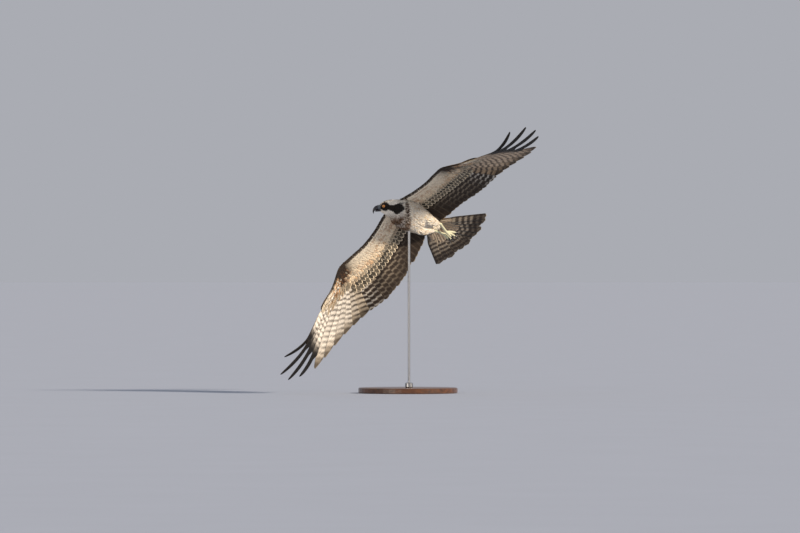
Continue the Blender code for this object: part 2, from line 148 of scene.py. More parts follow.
def deselect():
    if bpy.context.object and bpy.context.object.mode != "OBJECT":
        bpy.ops.object.mode_set(mode="OBJECT")
    bpy.ops.object.select_all(action="DESELECT")


def pick(*pieces):
    deselect()
    for piece in pieces:
        piece.select_set(True)
    bpy.context.view_layer.objects.active = pieces[0]


def addPiece(name, data):
    made = bpy.data.objects.new(name, data)
    bpy.context.scene.collection.objects.link(made)
    return made


def editAll(piece, *jobs):  # each job is an operator and its settings
    pick(piece)
    bpy.ops.object.mode_set(mode="EDIT")
    bpy.ops.mesh.select_all(action="SELECT")
    for operator, settings in jobs:
        operator(**settings)
    bpy.ops.object.mode_set(mode="OBJECT")


def addMelt(piece, voxel, rounds):  # one closed surface round all the parts, eased by rounds of smoothing
    melt = piece.modifiers.new("melt", "REMESH")
    melt.mode, melt.voxel_size, melt.use_smooth_shade = "VOXEL", voxel, True
    ease = piece.modifiers.new("ease", "SMOOTH")
    ease.factor, ease.iterations = 0.5, rounds


def meshPiece(name, places, faces, material=None):
    mesh = bpy.data.meshes.new(name)
    mesh.from_pydata(np.asarray(places, float).tolist(), [], [list(map(int, f)) for f in faces])
    mesh.update()
    if material:
        mesh.materials.append(material)
    mesh.shade_smooth()
    return addPiece(name, mesh)


# Rings of equally many points, bridged in turn, with both ends capped
def sleeve(name, rings, material=None):
    rings = [np.asarray(ring) for ring in rings]
    count = len(rings[0])
    around = np.arange(count)
    faces = []
    for k in range(len(rings) - 1):
        near, far = k * count + around, (k + 1) * count + around
        faces += np.stack([near, np.roll(near, -1), np.roll(far, -1), far], 1).tolist()
    faces += [list(range(count))[::-1], list((len(rings) - 1) * count + around)]
    made = meshPiece(name, np.concatenate(rings), faces, material)
    editAll(made, (bpy.ops.mesh.normals_make_consistent, {"inside": False}))
    return made


def applyAll(piece):
    pick(piece)
    for modifier in list(piece.modifiers):
        bpy.ops.object.modifier_apply(modifier=modifier.name)


def joinAll(name, pieces):
    pick(*pieces)
    bpy.ops.object.join()
    made = bpy.context.object
    made.name = made.data.name = name
    return made


def finishPiece(piece, slotName, *nodes):
    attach(piece, "root")
    if nodes:
        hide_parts(*nodes)
    return piece


# Materials

plumeLook = {
    "barbSpacing": 0.9,  # mm; real barbs are about 0.3 mm apart, drawn coarser so that they show
    "mottle": 5.0,  # mm, size of the uneven tone along a feather
    "ovalWide": 3.1, "ovalLong": 3.6, "ovalMiddle": 0.64,  # one over the oval's reaches, and its place
}


def plumeMaterial(name, spots):
    # Feather keratin: matt, faintly silky, with oblique barbs to each side of the shaft
    material, shader = newMaterial(name, Roughness=0.66, Specular_IOR_Level=0.2, Sheen_Weight=0.04,
                                   Sheen_Roughness=0.5)
    tint = addNode(material, "ShaderNodeAttribute", {"attribute_name": "tint"})["Color"]
    vane = addNode(material, "ShaderNodeUVMap", {"uv_map": "Vane"})["UV"]
    split = addNode(material, "ShaderNodeSeparateXYZ", Vector=vane)
    across = addNode(material, "ShaderNodeMath", {"operation": "SUBTRACT"}, _0=split["X"], _1=0.5)[0]
    away = addNode(material, "ShaderNodeMath", {"operation": "ABSOLUTE"}, _0=across)[0]
    where = addNode(material, "ShaderNodeTexCoord")["Object"]
    mottle = addNode(material, "ShaderNodeTexNoise", Vector=where, Scale=1000.0 / plumeLook["mottle"],
                     Detail=3.0)["Fac"]
    uneven = addNode(material, "ShaderNodeMapRange", Value=mottle, From_Min=0.3, From_Max=0.7, To_Min=0.80,
                     To_Max=1.20)[0]
    base = addNode(material, "ShaderNodeVectorMath", {"operation": "SCALE"}, _0=tint, Scale=uneven)[0]
    if spots:
        mark = addNode(material, "ShaderNodeAttribute", {"attribute_name": "mark"})["Color"]
        marks = addNode(material, "ShaderNodeSeparateColor", Color=mark)
        wide = addNode(material, "ShaderNodeMath", {"operation": "MULTIPLY"}, _0=away,
                       _1=plumeLook["ovalWide"])[0]
        middle = addNode(material, "ShaderNodeMath", {"operation": "SUBTRACT"}, _0=split["Y"],
                         _1=plumeLook["ovalMiddle"])[0]
        long = addNode(material, "ShaderNodeMath", {"operation": "MULTIPLY"}, _0=middle,
                       _1=plumeLook["ovalLong"])[0]
        both = addNode(material, "ShaderNodeCombineXYZ", X=wide, Y=long)[0]
        reach = addNode(material, "ShaderNodeVectorMath", {"operation": "LENGTH"}, _0=both)["Value"]
        rough = addNode(material, "ShaderNodeMapRange", Value=mottle, To_Min=-0.15, To_Max=0.15)[0]
        reach = addNode(material, "ShaderNodeMath", {"operation": "ADD"}, _0=reach, _1=rough)[0]
        # A pale rim by the blue of "mark", a rusty streak by its green and a black oval by its red
        for value, start, end, channel, tone in (
                (reach, 1.0, 1.7, "Blue", "edge"), (away, 0.17, 0.06, "Green", "rust"),
                (reach, 1.24, 1.0, "Red", "black")):
            share = addNode(material, "ShaderNodeMapRange", {"interpolation_type": "SMOOTHSTEP"}, Value=value,
                            From_Min=start, From_Max=end)[0]
            share = addNode(material, "ShaderNodeMath", {"operation": "MULTIPLY"}, _0=share,
                            _1=marks[channel])[0]
            base = addNode(material, "ShaderNodeMix", {"data_type": "RGBA"}, _0=share, _6=base,
                           _7=(*plumage[tone], 1.0))[2]
    feed(material, shader, "Base Color", base)
    # Barbs: bands across the vane that run out and towards the tip
    metres = addNode(material, "ShaderNodeAttribute", {"attribute_name": "reach"})["Vector"]
    lengths = addNode(material, "ShaderNodeSeparateXYZ", Vector=metres)
    slant = addNode(material, "ShaderNodeMath", {"operation": "SUBTRACT"}, _0=lengths["Y"],
                    _1=lengths["X"])[0]
    turns = addNode(material, "ShaderNodeMath", {"operation": "MULTIPLY"}, _0=slant,
                    _1=2 * math.pi * 1000 / plumeLook["barbSpacing"])[0]
    wave = addNode(material, "ShaderNodeMath", {"operation": "SINE"}, _0=turns)[0]
    bump = addNode(material, "ShaderNodeBump", Height=wave, Strength=0.35, Distance=0.0002)["Normal"]
    feed(material, shader, "Normal", bump)
    return material


def simpleMaterial(name, light, shade, scale, rough, bumpDepth, kind="ShaderNodeTexNoise", **sockets):
    # Two tones in a pattern that also gives the relief; scale is the pattern's size in mm
    material, shader = newMaterial(name, Roughness=rough, **sockets)
    where = addNode(material, "ShaderNodeTexCoord")["Object"]
    pattern = addNode(material, kind, Vector=where, Scale=1000.0 / scale)
    value = pattern["Distance"] if kind == "ShaderNodeTexVoronoi" else pattern["Fac"]
    tone = addNode(material, "ShaderNodeMapRange", Value=value, From_Min=0.25, From_Max=0.75)[0]
    base = addNode(material, "ShaderNodeMix", {"data_type": "RGBA"}, _0=tone, _6=(*colour(light), 1),
                   _7=(*colour(shade), 1))[2]
    feed(material, shader, "Base Color", base)
    bump = addNode(material, "ShaderNodeBump", Height=value, Strength=0.4, Distance=bumpDepth)["Normal"]
    feed(material, shader, "Normal", bump)
    return material


def skinMaterial():
    # Short down on the skin, matt and a little darker than the feathers over it, in the coat's own colours
    material, shader = newMaterial("down on the skin", Roughness=0.85, Specular_IOR_Level=0.1)
    tint = addNode(material, "ShaderNodeAttribute", {"attribute_name": "tint"})["Color"]
    where = addNode(material, "ShaderNodeTexCoord")["Object"]
    fluff = addNode(material, "ShaderNodeTexNoise", Vector=where, Scale=900.0, Detail=3.0)["Fac"]
    tone = addNode(material, "ShaderNodeMapRange", Value=fluff, From_Min=0.3, From_Max=0.7, To_Min=0.65,
                   To_Max=0.95)[0]
    base = addNode(material, "ShaderNodeVectorMath", {"operation": "SCALE"}, _0=tint, Scale=tone)[0]
    feed(material, shader, "Base Color", base)
    bump = addNode(material, "ShaderNodeBump", Height=fluff, Strength=0.4, Distance=0.0003)["Normal"]
    feed(material, shader, "Normal", bump)
    return material


coatPlume = plumeMaterial("feather keratin with markings", True)
flightPlume = plumeMaterial("flight feather keratin", False)
downSkin = skinMaterial()
hornBlack = simpleMaterial("polished black horn", "#16161a", "#26262c", 6.0, 0.24, 0.00008)
cereSkin = simpleMaterial("waxy blue grey cere", "#49525c", "#353c44", 2.0, 0.38, 0.0001)
scaleSkin = simpleMaterial("pale scaled leg skin", "#d9d7bb", "#b9b898", 1.6, 0.55, 0.0003,
                           "ShaderNodeTexVoronoi")
# The same dark material is the lids' skin and the painted shade in the nostril openings
lidSkinAndNostrilShade = simpleMaterial("dark lid skin and painted nostril shade", "#241d19", "#110d0b", 1.0, 0.5, 0.0001)
steel = simpleMaterial("brushed steel", "#b9bbbe", "#a3a5a8", 1.5, 0.32, 0.00002, Metallic=1.0)
print("materials done")


# Wing layout, flat: out from the shoulder and forwards, in metres

wing = {
    "shoulder": (0.022, 0.040, 0.026), "wrist": 0.288, "lead": 0.0035, "notch": 0.006, "camber": 0.055,
    "front": [(-0.030, 0.044), (0.00, 0.048), (0.07, 0.044), (0.15, 0.052), (0.23, 0.078), (0.288, 0.097),
              (0.34, 0.092), (0.41, 0.088)],
    "rear": [(-0.030, -0.150), (0.06, -0.166), (0.16, -0.166), (0.26, -0.155), (0.372, -0.134)],
    "armDepth": (0.017, 0.006), "handDepth": (0.010, 0.0004), "secondaries": 17,
    "profile": [(0.0, 0.0), (0.03, 0.55), (0.10, 0.95), (0.22, 1.0), (0.50, 0.34), (1.0, 0.0)],
    # P1 to P10: root out and forward, length, degrees back, share of the length inside the hand
    "primaries": [
        (0.290, 0.082, 0.242, 61.5, 1.0), (0.302, 0.084, 0.254, 55.0, 1.0), (0.315, 0.085, 0.270, 48.0, 1.0),
        (0.329, 0.085, 0.291, 39.5, 1.0), (0.343, 0.085, 0.318, 30.0, 1.0), (0.357, 0.084, 0.346, 20.0, 1.0),
        (0.369, 0.082, 0.380, 10.5, 0.72), (0.380, 0.080, 0.403, 1.0, 0.61),
        (0.388, 0.077, 0.401, -8.0, 0.56), (0.395, 0.074, 0.328, -13.0, 0.60),
    ],
    "fingerWidth": {7: 0.028, 8: 0.025, 9: 0.022, 10: 0.018}, "fingerRise": {1: 0.036, -1: 0.044},
}
# Slope and twist in degrees at places along the left wing (1) and the right one (-1)
droop = {
    1: [(-0.03, -8.0), (0.07, -14.0), (0.28, -28.0), (0.40, -30.0), (0.55, -32.0), (0.70, -27.0),
        (0.82, -25.0)],
    -1: [(-0.03, -12.0), (0.07, -22.0), (0.28, -25.0), (0.40, -24.0), (0.55, -33.0), (0.70, -37.0),
         (0.82, -38.0)],
}
twist = {
    1: [(-0.03, 4.0), (0.10, -4.0), (0.28, -9.0), (0.40, -18.0), (0.52, -24.0), (0.82, -25.0)],
    -1: [(-0.03, 10.0), (0.10, 13.0), (0.26, 12.0), (0.40, -8.0), (0.52, -22.0), (0.82, -26.0)],
}
span = np.linspace(-0.03, 0.82, 171)


def bentSpan(side):
    slopes = np.radians(smoothAt(droop[side], span)[:, 0])
    runs = np.cumsum([np.cos(slopes), np.sin(slopes)], axis=1) * (span[1] - span[0])
    return runs - [[np.interp(0.0, span, run)] for run in runs]


bent = {side: bentSpan(side) for side in (1, -1)}


def onWing(out, forward, height, side):  # arrays of flat places to places in the room
    shape = np.shape(out)
    out, forward, height = (np.ravel(np.broadcast_to(a, shape)) for a in (out, forward, height))
    slope = np.radians(smoothAt(droop[side], out)[:, 0])
    turn = np.radians(smoothAt(twist[side], out)[:, 0])
    nothing = np.zeros_like(slope)
    up = np.stack([nothing, -np.sin(slope), np.cos(slope)], 1)
    ahead = np.stack([np.cos(turn), nothing, nothing], 1) + up * np.sin(turn)[:, None]
    normal = up * np.cos(turn)[:, None] - np.stack([np.sin(turn), nothing, nothing], 1)
    start = np.stack([nothing, *(np.interp(out, span, run) for run in bent[side])], 1) + wing["shoulder"]
    place = start + ahead * forward[:, None] + normal * height[:, None]
    place[:, 1] *= side
    return inWings(place).reshape(*shape, 3)


def primaryLine(number, share):
    out, forward, length, back, _ = wing["primaries"][number - 1]
    turn = math.radians(back)
    return np.array([out + length * share * math.cos(turn), forward - length * share * math.sin(turn)])


def handEdge(number, between):
    out, forward, length, back, leaves = wing["primaries"][number - 1]
    shaft = primaryLine(number, leaves)
    if not between:
        return shaft
    if number == 10:
        turn = math.radians(back)
        return shaft + np.array([math.sin(turn), math.cos(turn)]) * wing["fingerWidth"][10] / 2
    ahead = primaryLine(number + 1, wing["primaries"][number][4])
    inwards = np.array([out, forward]) - shaft
    return (shaft + ahead) / 2 + inwards / np.linalg.norm(inwards) * wing["notch"]


def wingSections():
    # Place along the wing (0 to 1 the arm, 1 to 2 the hand), front point, rear point, depth and camber
    rows = []
    inner, outer = wing["rear"][0][0], wing["rear"][-1][0]
    for share in np.linspace(0.0, 1.0, 35):
        front = inner + (wing["wrist"] - inner) * share
        rear = inner + (outer - inner) * share
        ends = (front, smoothAt(wing["front"], front)[0, 0], rear, smoothAt(wing["rear"], rear)[0, 0])
        rows.append((share, *ends, wing["armDepth"][0] - wing["armDepth"][1] * share, wing["camber"]))
    for number in range(1, 11):
        out = wing["primaries"][number - 1][0]
        ahead = wing["primaries"][min(number, 9)][0]
        for between, front in ((0, out + wing["lead"]), (1, (out + ahead) / 2 + wing["lead"])):
            ends = (front, smoothAt(wing["front"], front)[0, 0], *handEdge(number, between))
            depth = wing["handDepth"][0] - wing["handDepth"][1] * number
            camber = wing["camber"] * (1 - number / 12)
            rows.append((1 + (2 * number - 1 + between) / 20, *ends, depth, camber))
    return np.array(rows)


sections = wingSections()


def sectionAt(along):
    along = np.asarray(along, float)
    return [np.interp(along, sections[:, 0], sections[:, k]) for k in range(1, 7)]


def bladeSpot(along, share):
    fx, fy, rx, ry, _, _ = sectionAt(along)
    return np.stack([fx + (rx - fx) * share, fy + (ry - fy) * share], -1)


def bladeHeight(along, share, face):  # face 1 is the upper surface, -1 the lower one and 0 between them
    fx, fy, rx, ry, depth, camber = sectionAt(along)
    length = np.hypot(rx - fx, ry - fy)
    inside = np.clip(share, 0.0, 1.0)
    arch = camber * length * 4 * inside * (1 - inside)
    shares, deep = zip(*wing["profile"])
    return arch + face * depth * np.interp(share, shares, deep) / 2


# Vanes: every feather is a closed, thin shell laid out once and copied as numbers

def vaneGrid(across, rows):
    rows = np.asarray(rows, float)
    u, v = np.meshgrid(np.linspace(-1, 1, across + 1), rows)
    top = np.arange(u.size).reshape(u.shape)
    under = top.copy()
    inside = (len(rows) - 2, across - 1)
    under[1:-1, 1:-1] = u.size + np.arange(inside[0] * inside[1]).reshape(inside)
    quads = []
    for sheet, lap in ((top, 1), (under, -1)):
        corners = np.stack([sheet[:-1, :-1], sheet[:-1, 1:], sheet[1:, 1:], sheet[1:, :-1]], -1)
        quads.append(corners.reshape(-1, 4)[:, ::lap])
    inner = (slice(1, -1), slice(1, -1))
    lift = np.zeros(u.shape)
    lift[inner] = 1.0
    return {
        # across from -1 to 1, root to tip from 0 to 1, and 1 on the upper side and -1 on the lower one
        "u": np.concatenate([u.ravel(), u[inner].ravel()]),
        "v": np.concatenate([v.ravel(), v[inner].ravel()]),
        "h": np.concatenate([lift.ravel(), -lift[inner].ravel()]),
        "faces": np.concatenate(quads), "upper": np.repeat([True, False], len(quads[0])), "rows": rows,
    }


grids = {
    "flight": vaneGrid(12, [*np.linspace(0, 0.93, 66), 0.945, 0.96, 0.972, 0.982, 0.99, 1.0]),
    "covert": vaneGrid(4, [0.0, 0.25, 0.5, 0.72, 0.88, 0.97, 1.0]),
    "body": vaneGrid(2, [0.0, 0.28, 0.58, 0.84, 0.97, 1.0]),
}


def roundTip(v, start, root=0.5, least=0.12):
    # Share of the full width along a feather: narrower at its root, round from start to its tip
    grown = root + (1 - root) * step(0.0, 0.35, v)
    tip = np.sqrt(np.clip(1 - (np.clip(v - start, 0, None) / (1 - start)) ** 2, 0, 1))
    return grown * np.maximum(tip, least)


def layOnWing(grid, side, start, end, reach, run, heights, tilt, thick, cup=0.0):
    # start and end are flat places; reach is a point's metres to the leading side and run its share of
    # the length
    along = end - start
    length = np.linalg.norm(along, axis=1)
    unit = along / length[:, None]
    sideways = np.stack([-unit[:, 1], unit[:, 0]], 1)
    u, v, h = grid["u"][None, :], grid["v"][None, :], grid["h"][None, :]
    spot = start[:, None] + along[:, None] * run[..., None] + sideways[:, None] * reach[..., None]
    row = np.searchsorted(grid["rows"], grid["v"] - 1e-6)
    height = heights[:, row] + tilt * u + cup * (1 - u ** 2) + h * thick * (1 - 0.6 * v)
    places = onWing(spot[..., 0], spot[..., 1], height, side)
    metres = np.stack([np.abs(reach), run * length[:, None]], -1)
    return places, metres


def vaneOutline(grid, length, inner, outer, outline, slant):
    # The trailing vane is the broad one, and its end runs back along the wing's edge
    u, v = grid["u"][None, :], grid["v"][None, :]
    reach = np.where(u < 0, inner, outer) * u * outline * np.ones((len(length), 1))
    run = v * (1 - slant[:, None] * np.clip(-reach, 0, None) / length[:, None])
    return reach, run


def joinVanes(name, grid, parts, material, flip=False):
    # Each part has places (n, k, 3), metres (n, k, 2), top and low tints (n, k, 3), a mark (n, 3) and a patch
    # (n, 4) of the baking map, which is its middle, width and height; a strip has its lower face beside it
    places = np.concatenate([p["places"] for p in parts])
    count, each = places.shape[:2]
    corners = grid["faces"][:, ::-1] if flip else grid["faces"]
    faces = (corners[None] + (np.arange(count) * each)[:, None, None]).reshape(-1, 4)
    mesh = bpy.data.meshes.new(name)
    mesh.vertices.add(count * each)
    mesh.vertices.foreach_set("co", places.ravel())
    mesh.loops.add(faces.size)
    mesh.loops.foreach_set("vertex_index", faces.ravel())
    mesh.polygons.add(len(faces))
    mesh.polygons.foreach_set("loop_start", np.arange(0, faces.size, 4))
    mesh.update(calc_edges=True)
    whose = faces // each
    which = faces % each
    upper = np.tile(grid["upper"], count)[:, None]
    top = np.concatenate([p["top"] for p in parts])
    low = np.concatenate([p["low"] for p in parts])
    tint = np.where(upper[..., None], top[whose, which], low[whose, which])
    fourth = np.ones((*tint.shape[:2], 1))
    mark = np.concatenate([p["mark"] for p in parts])[whose]
    for key, values in (("tint", tint), ("mark", mark)):
        layer = mesh.color_attributes.new(key, "FLOAT_COLOR", "CORNER")
        layer.data.foreach_set("color", np.concatenate([values, fourth], -1).ravel())
    metres = np.concatenate([p["metres"] for p in parts])[whose, which]
    layer = mesh.attributes.new("reach", "FLOAT_VECTOR", "CORNER")
    layer.data.foreach_set("vector", np.concatenate([metres, 0 * fourth], -1).ravel())
    share = np.stack([grid["u"] / 2 + 0.5, grid["v"]], -1)[which]
    mesh.uv_layers.new(name="Vane").data.foreach_set("uv", share.ravel())
    patch = np.concatenate([p["patch"] for p in parts])[whose]
    baked = patch[..., :2] + (share - 0.5) * patch[..., 2:]
    if parts[0].get("strips"):
        baked[..., 0] += np.where(upper, 0.0, patch[..., 2] * 1.1)
    mesh.uv_layers.new(name="OFBake").data.foreach_set("uv", baked.ravel())
    mesh.validate()
    mesh.shade_smooth()
    mesh.materials.append(material)
    print(f"{name}: {count} feathers, {2 * len(faces)} triangles")
    return addPiece(name, mesh)


# Skin: one closed surface inside the flesh of the frame

skinLook = {
    "voxel": 0.0022, "coat": 0.0018, "swell": 0.0006, "smoothing": 16,
    "reach": [(0.0, 0.52), (0.9, 0.40), (1.15, 0.20), (1.85, 0.12)],  # share of the wing's depth, along it
}
# Hip, heel and foot in the bird's frame, and the thigh's radius at shares of its length
legs = {
    "left": ((-0.062, 0.036, -0.030), (-0.120, 0.048, -0.040), (-0.176, 0.030, -0.046)),
    "right": ((-0.062, -0.018, -0.036), (-0.128, 0.009, -0.039), (-0.189, 0.007, -0.028)),
}
thighShape = [(-0.40, 0.004), (-0.20, 0.014), (0.0, 0.0205), (0.2, 0.0225), (0.45, 0.0205), (1.0, 0.0085)]


def tubeRings(path, radii, sides=16):
    path = np.asarray(path, float)
    rings = []
    for i, radius in enumerate(radii):
        along = path[min(i + 1, len(path) - 1)] - path[max(i - 1, 0)]
        along = along / np.linalg.norm(along)
        across = np.cross(along, (0, 0, 1))
        across = across / np.linalg.norm(across)
        over = np.cross(across, along)
        turns = 2 * math.pi * np.arange(sides)[:, None] / sides
        rings.append(path[i] + (across * np.cos(turns) + over * np.sin(turns)) * radius)
    return rings


def thighFlesh(sideName):
    # The thigh starts thin inside the trunk, so that it grows out of it without a ledge
    hip, heel, _ = (np.array(p) for p in legs[sideName])
    shares = np.linspace(thighShape[0][0], 1.0, 18)
    path = [hip + (heel - hip) * s + np.array((0, 0, 0.35)) * min(s, 0) ** 2 * 0.12 for s in shares]
    rings = tubeRings(path, smoothAt(thighShape, shares)[:, 0], 20)
    return sleeve("thigh_flesh_" + sideName, [inRoom(ring) for ring in rings])


def wingFlesh(side):
    rings = []
    for along in np.linspace(0.0, skinLook["reach"][-1][0], 44):
        end = np.interp(along, *zip(*skinLook["reach"]))
        shares = np.concatenate([[0.012, 0.05], np.linspace(0.10, 1.0, 6) * end])
        spread = [(s, 1) for s in shares] + [(s, -1) for s in shares[::-1]]
        share = np.array([s for s, _ in spread])
        face = np.array([f for _, f in spread])
        spot = bladeSpot(np.full(share.shape, along), share)
        height = bladeHeight(np.full(share.shape, along), share, face)
        rings.append(onWing(spot[:, 0], spot[:, 1], height, side))
    return sleeve(f"flesh_{side}", rings)


def buildSkin():
    copies = []
    for name in ("trunk", "neck", "head"):
        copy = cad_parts[name].copy()
        copy.data = copy.data.copy()
        bpy.context.scene.collection.objects.link(copy)
        copy.hide_render = copy.hide_viewport = False
        copies.append(copy)
    copies += [wingFlesh(1), wingFlesh(-1), thighFlesh("left"), thighFlesh("right")]
    skin = joinAll("skin", copies)
    for key in list(skin.keys()):
        del skin[key]
    editAll(skin, (bpy.ops.mesh.remove_doubles, {"threshold": 0.00005}))
    grow = skin.modifiers.new("grow", "DISPLACE")
    grow.strength, grow.mid_level = skinLook["swell"], 0.0
    addMelt(skin, skinLook["voxel"], skinLook["smoothing"])
    sink = skin.modifiers.new("sink", "DISPLACE")
    sink.strength, sink.mid_level = -skinLook["coat"] - skinLook["swell"], 0.0
    applyAll(skin)
    skin.data.materials.clear()
    skin.data.materials.append(downSkin)
    while skin.data.uv_layers:
        skin.data.uv_layers.remove(skin.data.uv_layers[0])
    skin.data.uv_layers.new(name="OFBake")
    unwrap = {"angle_limit": math.radians(66), "island_margin": 0.002}
    editAll(skin, (bpy.ops.mesh.quads_convert_to_tris, {}), (bpy.ops.uv.smart_project, unwrap))
    print(f"skin: {len(skin.data.polygons)} triangles")
    return skin


skin = buildSkin()


def readSkin():
    mesh = skin.data
    mesh.calc_loop_triangles()
    places = np.empty(len(mesh.vertices) * 3)
    mesh.vertices.foreach_get("co", places)
    corners = np.empty(len(mesh.loop_triangles) * 3, int)
    mesh.loop_triangles.foreach_get("vertices", corners)
    loops = np.empty(len(mesh.loop_triangles) * 3, int)
    mesh.loop_triangles.foreach_get("loops", loops)
    flat = np.empty(len(mesh.loops) * 2)
    mesh.uv_layers["OFBake"].data.foreach_get("uv", flat)
    places, corners = places.reshape(-1, 3), corners.reshape(-1, 3)
    return places, corners, flat.reshape(-1, 2)[loops.reshape(-1, 3)]


skinPlaces, skinFaces, skinFlat = readSkin()
skinTree = BVHTree.FromPolygons([Vector(p) for p in skinPlaces], skinFaces.tolist(), all_triangles=True)
patchWidth = 0.003


def rootPatches(roots):
    # Where each root's nearest skin point lies on the skin's unwrap, with the patch's width and height
    found = []
    for root in roots:
        _, _, face, _ = skinTree.find_nearest(Vector(root))
        found.append(skinFlat[face].mean(0))
    found = np.array(found)
    return np.concatenate([found, np.full(found.shape, patchWidth)], 1)


def stripPatches(count, columns):
    # A strip of its own for each long feather, its upper face beside its lower one
    rows = math.ceil(count / columns)
    x = (np.arange(count) % columns + 0.25) / columns
    y = (np.arange(count) // columns + 0.5) / rows
    size = np.tile([0.42 / columns, 0.94 / rows], (count, 1))
    return np.concatenate([np.stack([x, y], 1), size], 1)


# Flight feathers

flight = {
    # trailing and leading vane's width; held is the trailing vane of the primaries that end as fingers
    "secondary": (0.0215, 0.0100), "leading": 0.0110, "held": {7: 0.034, 8: 0.031, 9: 0.027, 10: 0.023},
    "rootShare": 0.26, "tipShare": 1.01, "uneven": 0.0018,
    "handPaintedShade": {1: (0.72, 0.58, 0.45), -1: (1.0, 0.98, 0.95)},  # painted shade: the left hand is the darker, browner one, as it lies in shade with warm sun through its feathers
    "tilt": 0.0008, "thick": 0.0005, "barPeriod": 0.0225, "primaryPeriod": 0.0225, "tailPeriod": 0.0265,
}


def barred(away, u, period, duty, phase, wobble):
    # 1 on a dark bar; bars are counted from the tip and slant a little to each side of the shaft
    wave = np.cos(2 * math.pi * ((away + 0.0045 * np.abs(u) + wobble) / period + phase[:, None]))
    return step(-0.22, 0.22, wave + duty)


def flightTints(kind, number, grid, length, run):
    # Upper and lower tint of each vertex of each feather; number runs outwards from 1
    n = len(number)
    phase = rng.uniform(-0.07, 0.07, n)
    u = np.broadcast_to(grid["u"][None, :], run.shape)
    shift = rng.uniform(0, 6.28, (3, n, 1))
    wobble = 0.0011 * np.sin(4 * u + shift[0]) + 0.0008 * np.sin(9 * u + 14 * run + shift[1])
    wobble = wobble + 0.0010 * np.sin(17 * run + shift[2])
    away = (1 - run) * length[:, None]
    number = np.asarray(number, float)[:, None]
    rim = step(0.0042, 0.0014, (1 - grid["v"][None, :]) * length[:, None])
    ends = np.zeros_like(run)
    if kind == "secondary":
        bars = barred(away, u, flight["barPeriod"], 0.55, phase, wobble)
        inner = step(10.0, 2.0, number)
        shaded = np.clip(0.9 * inner + 0.6 * step(0.08, 0.02, away), 0, 1)
        pale = mix("greyPale", "barDark", shaded)
        low = mix(pale, "barDark", np.clip(bars + 0.35 * step(0.2, 1.0, u), 0, 1))
        low = mix(low, "dark", 0.7 * inner + 0.6 * step(0.04, 0.01, away) * (1 - inner))
        low = mix(low, "white", 0.42 * step(13.5, 17.0, number) * (1 - bars))
        low = mix(low, "barPale", 0.7 * rim)
        top = mix("brown", "dark", bars * 0.5)
        top = mix(top, "edge", 0.8 * rim)
    elif kind == "primary":
        bars = barred(away, u, flight["primaryPeriod"], -0.28, phase, wobble)
        leaves = np.array([wing["primaries"][int(k) - 1][4] for k in number[:, 0]])[:, None]
        ends = np.where(leaves < 1, step(leaves - 0.17, leaves + 0.03, run), 0.85 * step(0.80, 0.98, run))
        pale = mix("white", "barPale", 0.08 + 0.75 * step(0.68, 0.98, run))
        pale = mix(pale, "barPale", 0.75 * step(3.5, 1.0, number))
        strength = 0.30 + 0.50 * step(0.3, -0.9, u) + 0.2 * step(4.0, 1.0, number)
        low = mix(pale, "barDark", bars * strength)
        low = mix(low, "barDark", ends)
        low = mix(low, "black", np.where(leaves < 1, ends, 0.0))
        front = step(0.25, 0.8, u) * step(7.0, 9.5, number) * step(0.2, 0.5, run)
        low = mix(low, "dark", 0.85 * front)
        low = mix(low, "cream", 0.65 * rim * (leaves == 1))
        top = mix("brown", "dark", np.clip(bars * 0.4 + step(0.4, 0.9, run), 0, 1))
        top = mix(top, "black", np.where(leaves < 1, ends, 0.0))
    else:
        bars = barred(away, u, flight["tailPeriod"], 0.12, phase, wobble)
        last = step(0.072, 0.050, away)
        pale = mix("tailPale", "buff", 0.12 * step(0.10, 0.2, away))
        low = mix(pale, "barDark", 0.92 * bars * (1 - 0.5 * step(0.12, 0.2, away)))
        low = mix(low, "dark", last * (0.82 + 0.18 * bars))
        outermost = np.maximum(step(2.0, 1.0, number), step(11.0, 12.0, number))
        low = mix(low, "dark", 0.85 * outermost * step(0.2, 0.75, np.where(number <= 6, -u, u)))
        low = mix(low, "cream", 0.45 * rim)
        top = mix(plumage["brown"] * 1.25, "dark", np.clip(bars + last, 0, 1))
        top = mix(top, "edge", 0.8 * rim)
    shaft = step(0.13, 0.02, np.abs(u)) * step(1.0, 0.9, run)
    low = mix(low, "barPale", (0.3 if kind == "primary" else 0.14) * shaft * (1 - ends))
    top = mix(top, "black", 0.5 * shaft)
    low = mix(low, low * 0.78, step(0.72, 1.0, np.abs(u)))
    tone = rng.uniform(0.9, 1.08, (n, 1, 1))
    return top * tone, low * tone


def armVanes(grid, side):
    count = wing["secondaries"]
    along = (np.arange(count) + 0.5) / count
    first, last = flight["rootShare"], flight["tipShare"]
    start = bladeSpot(along, np.full(count, first))
    end = bladeSpot(along, np.full(count, last)) + rng.normal(0, flight["uneven"], (count, 2))
    shares = first + (last - first) * grid["rows"][None, :] * np.ones((count, 1))
    heights = bladeHeight(along[:, None] * np.ones_like(shares), shares, 0)
    outline = roundTip(grid["v"], 0.93, 0.7)[None, :]
    length = np.linalg.norm(end - start, axis=1)
    reach, run = vaneOutline(grid, length, *flight["secondary"], outline, np.full(count, 0.12))
    places, metres = layOnWing(grid, side, start, end, reach, run, heights, flight["tilt"], flight["thick"])
    top, low = flightTints("secondary", np.arange(1, count + 1), grid, length, run)
    return end[-1], {"places": places, "metres": metres, "top": top, "low": low}


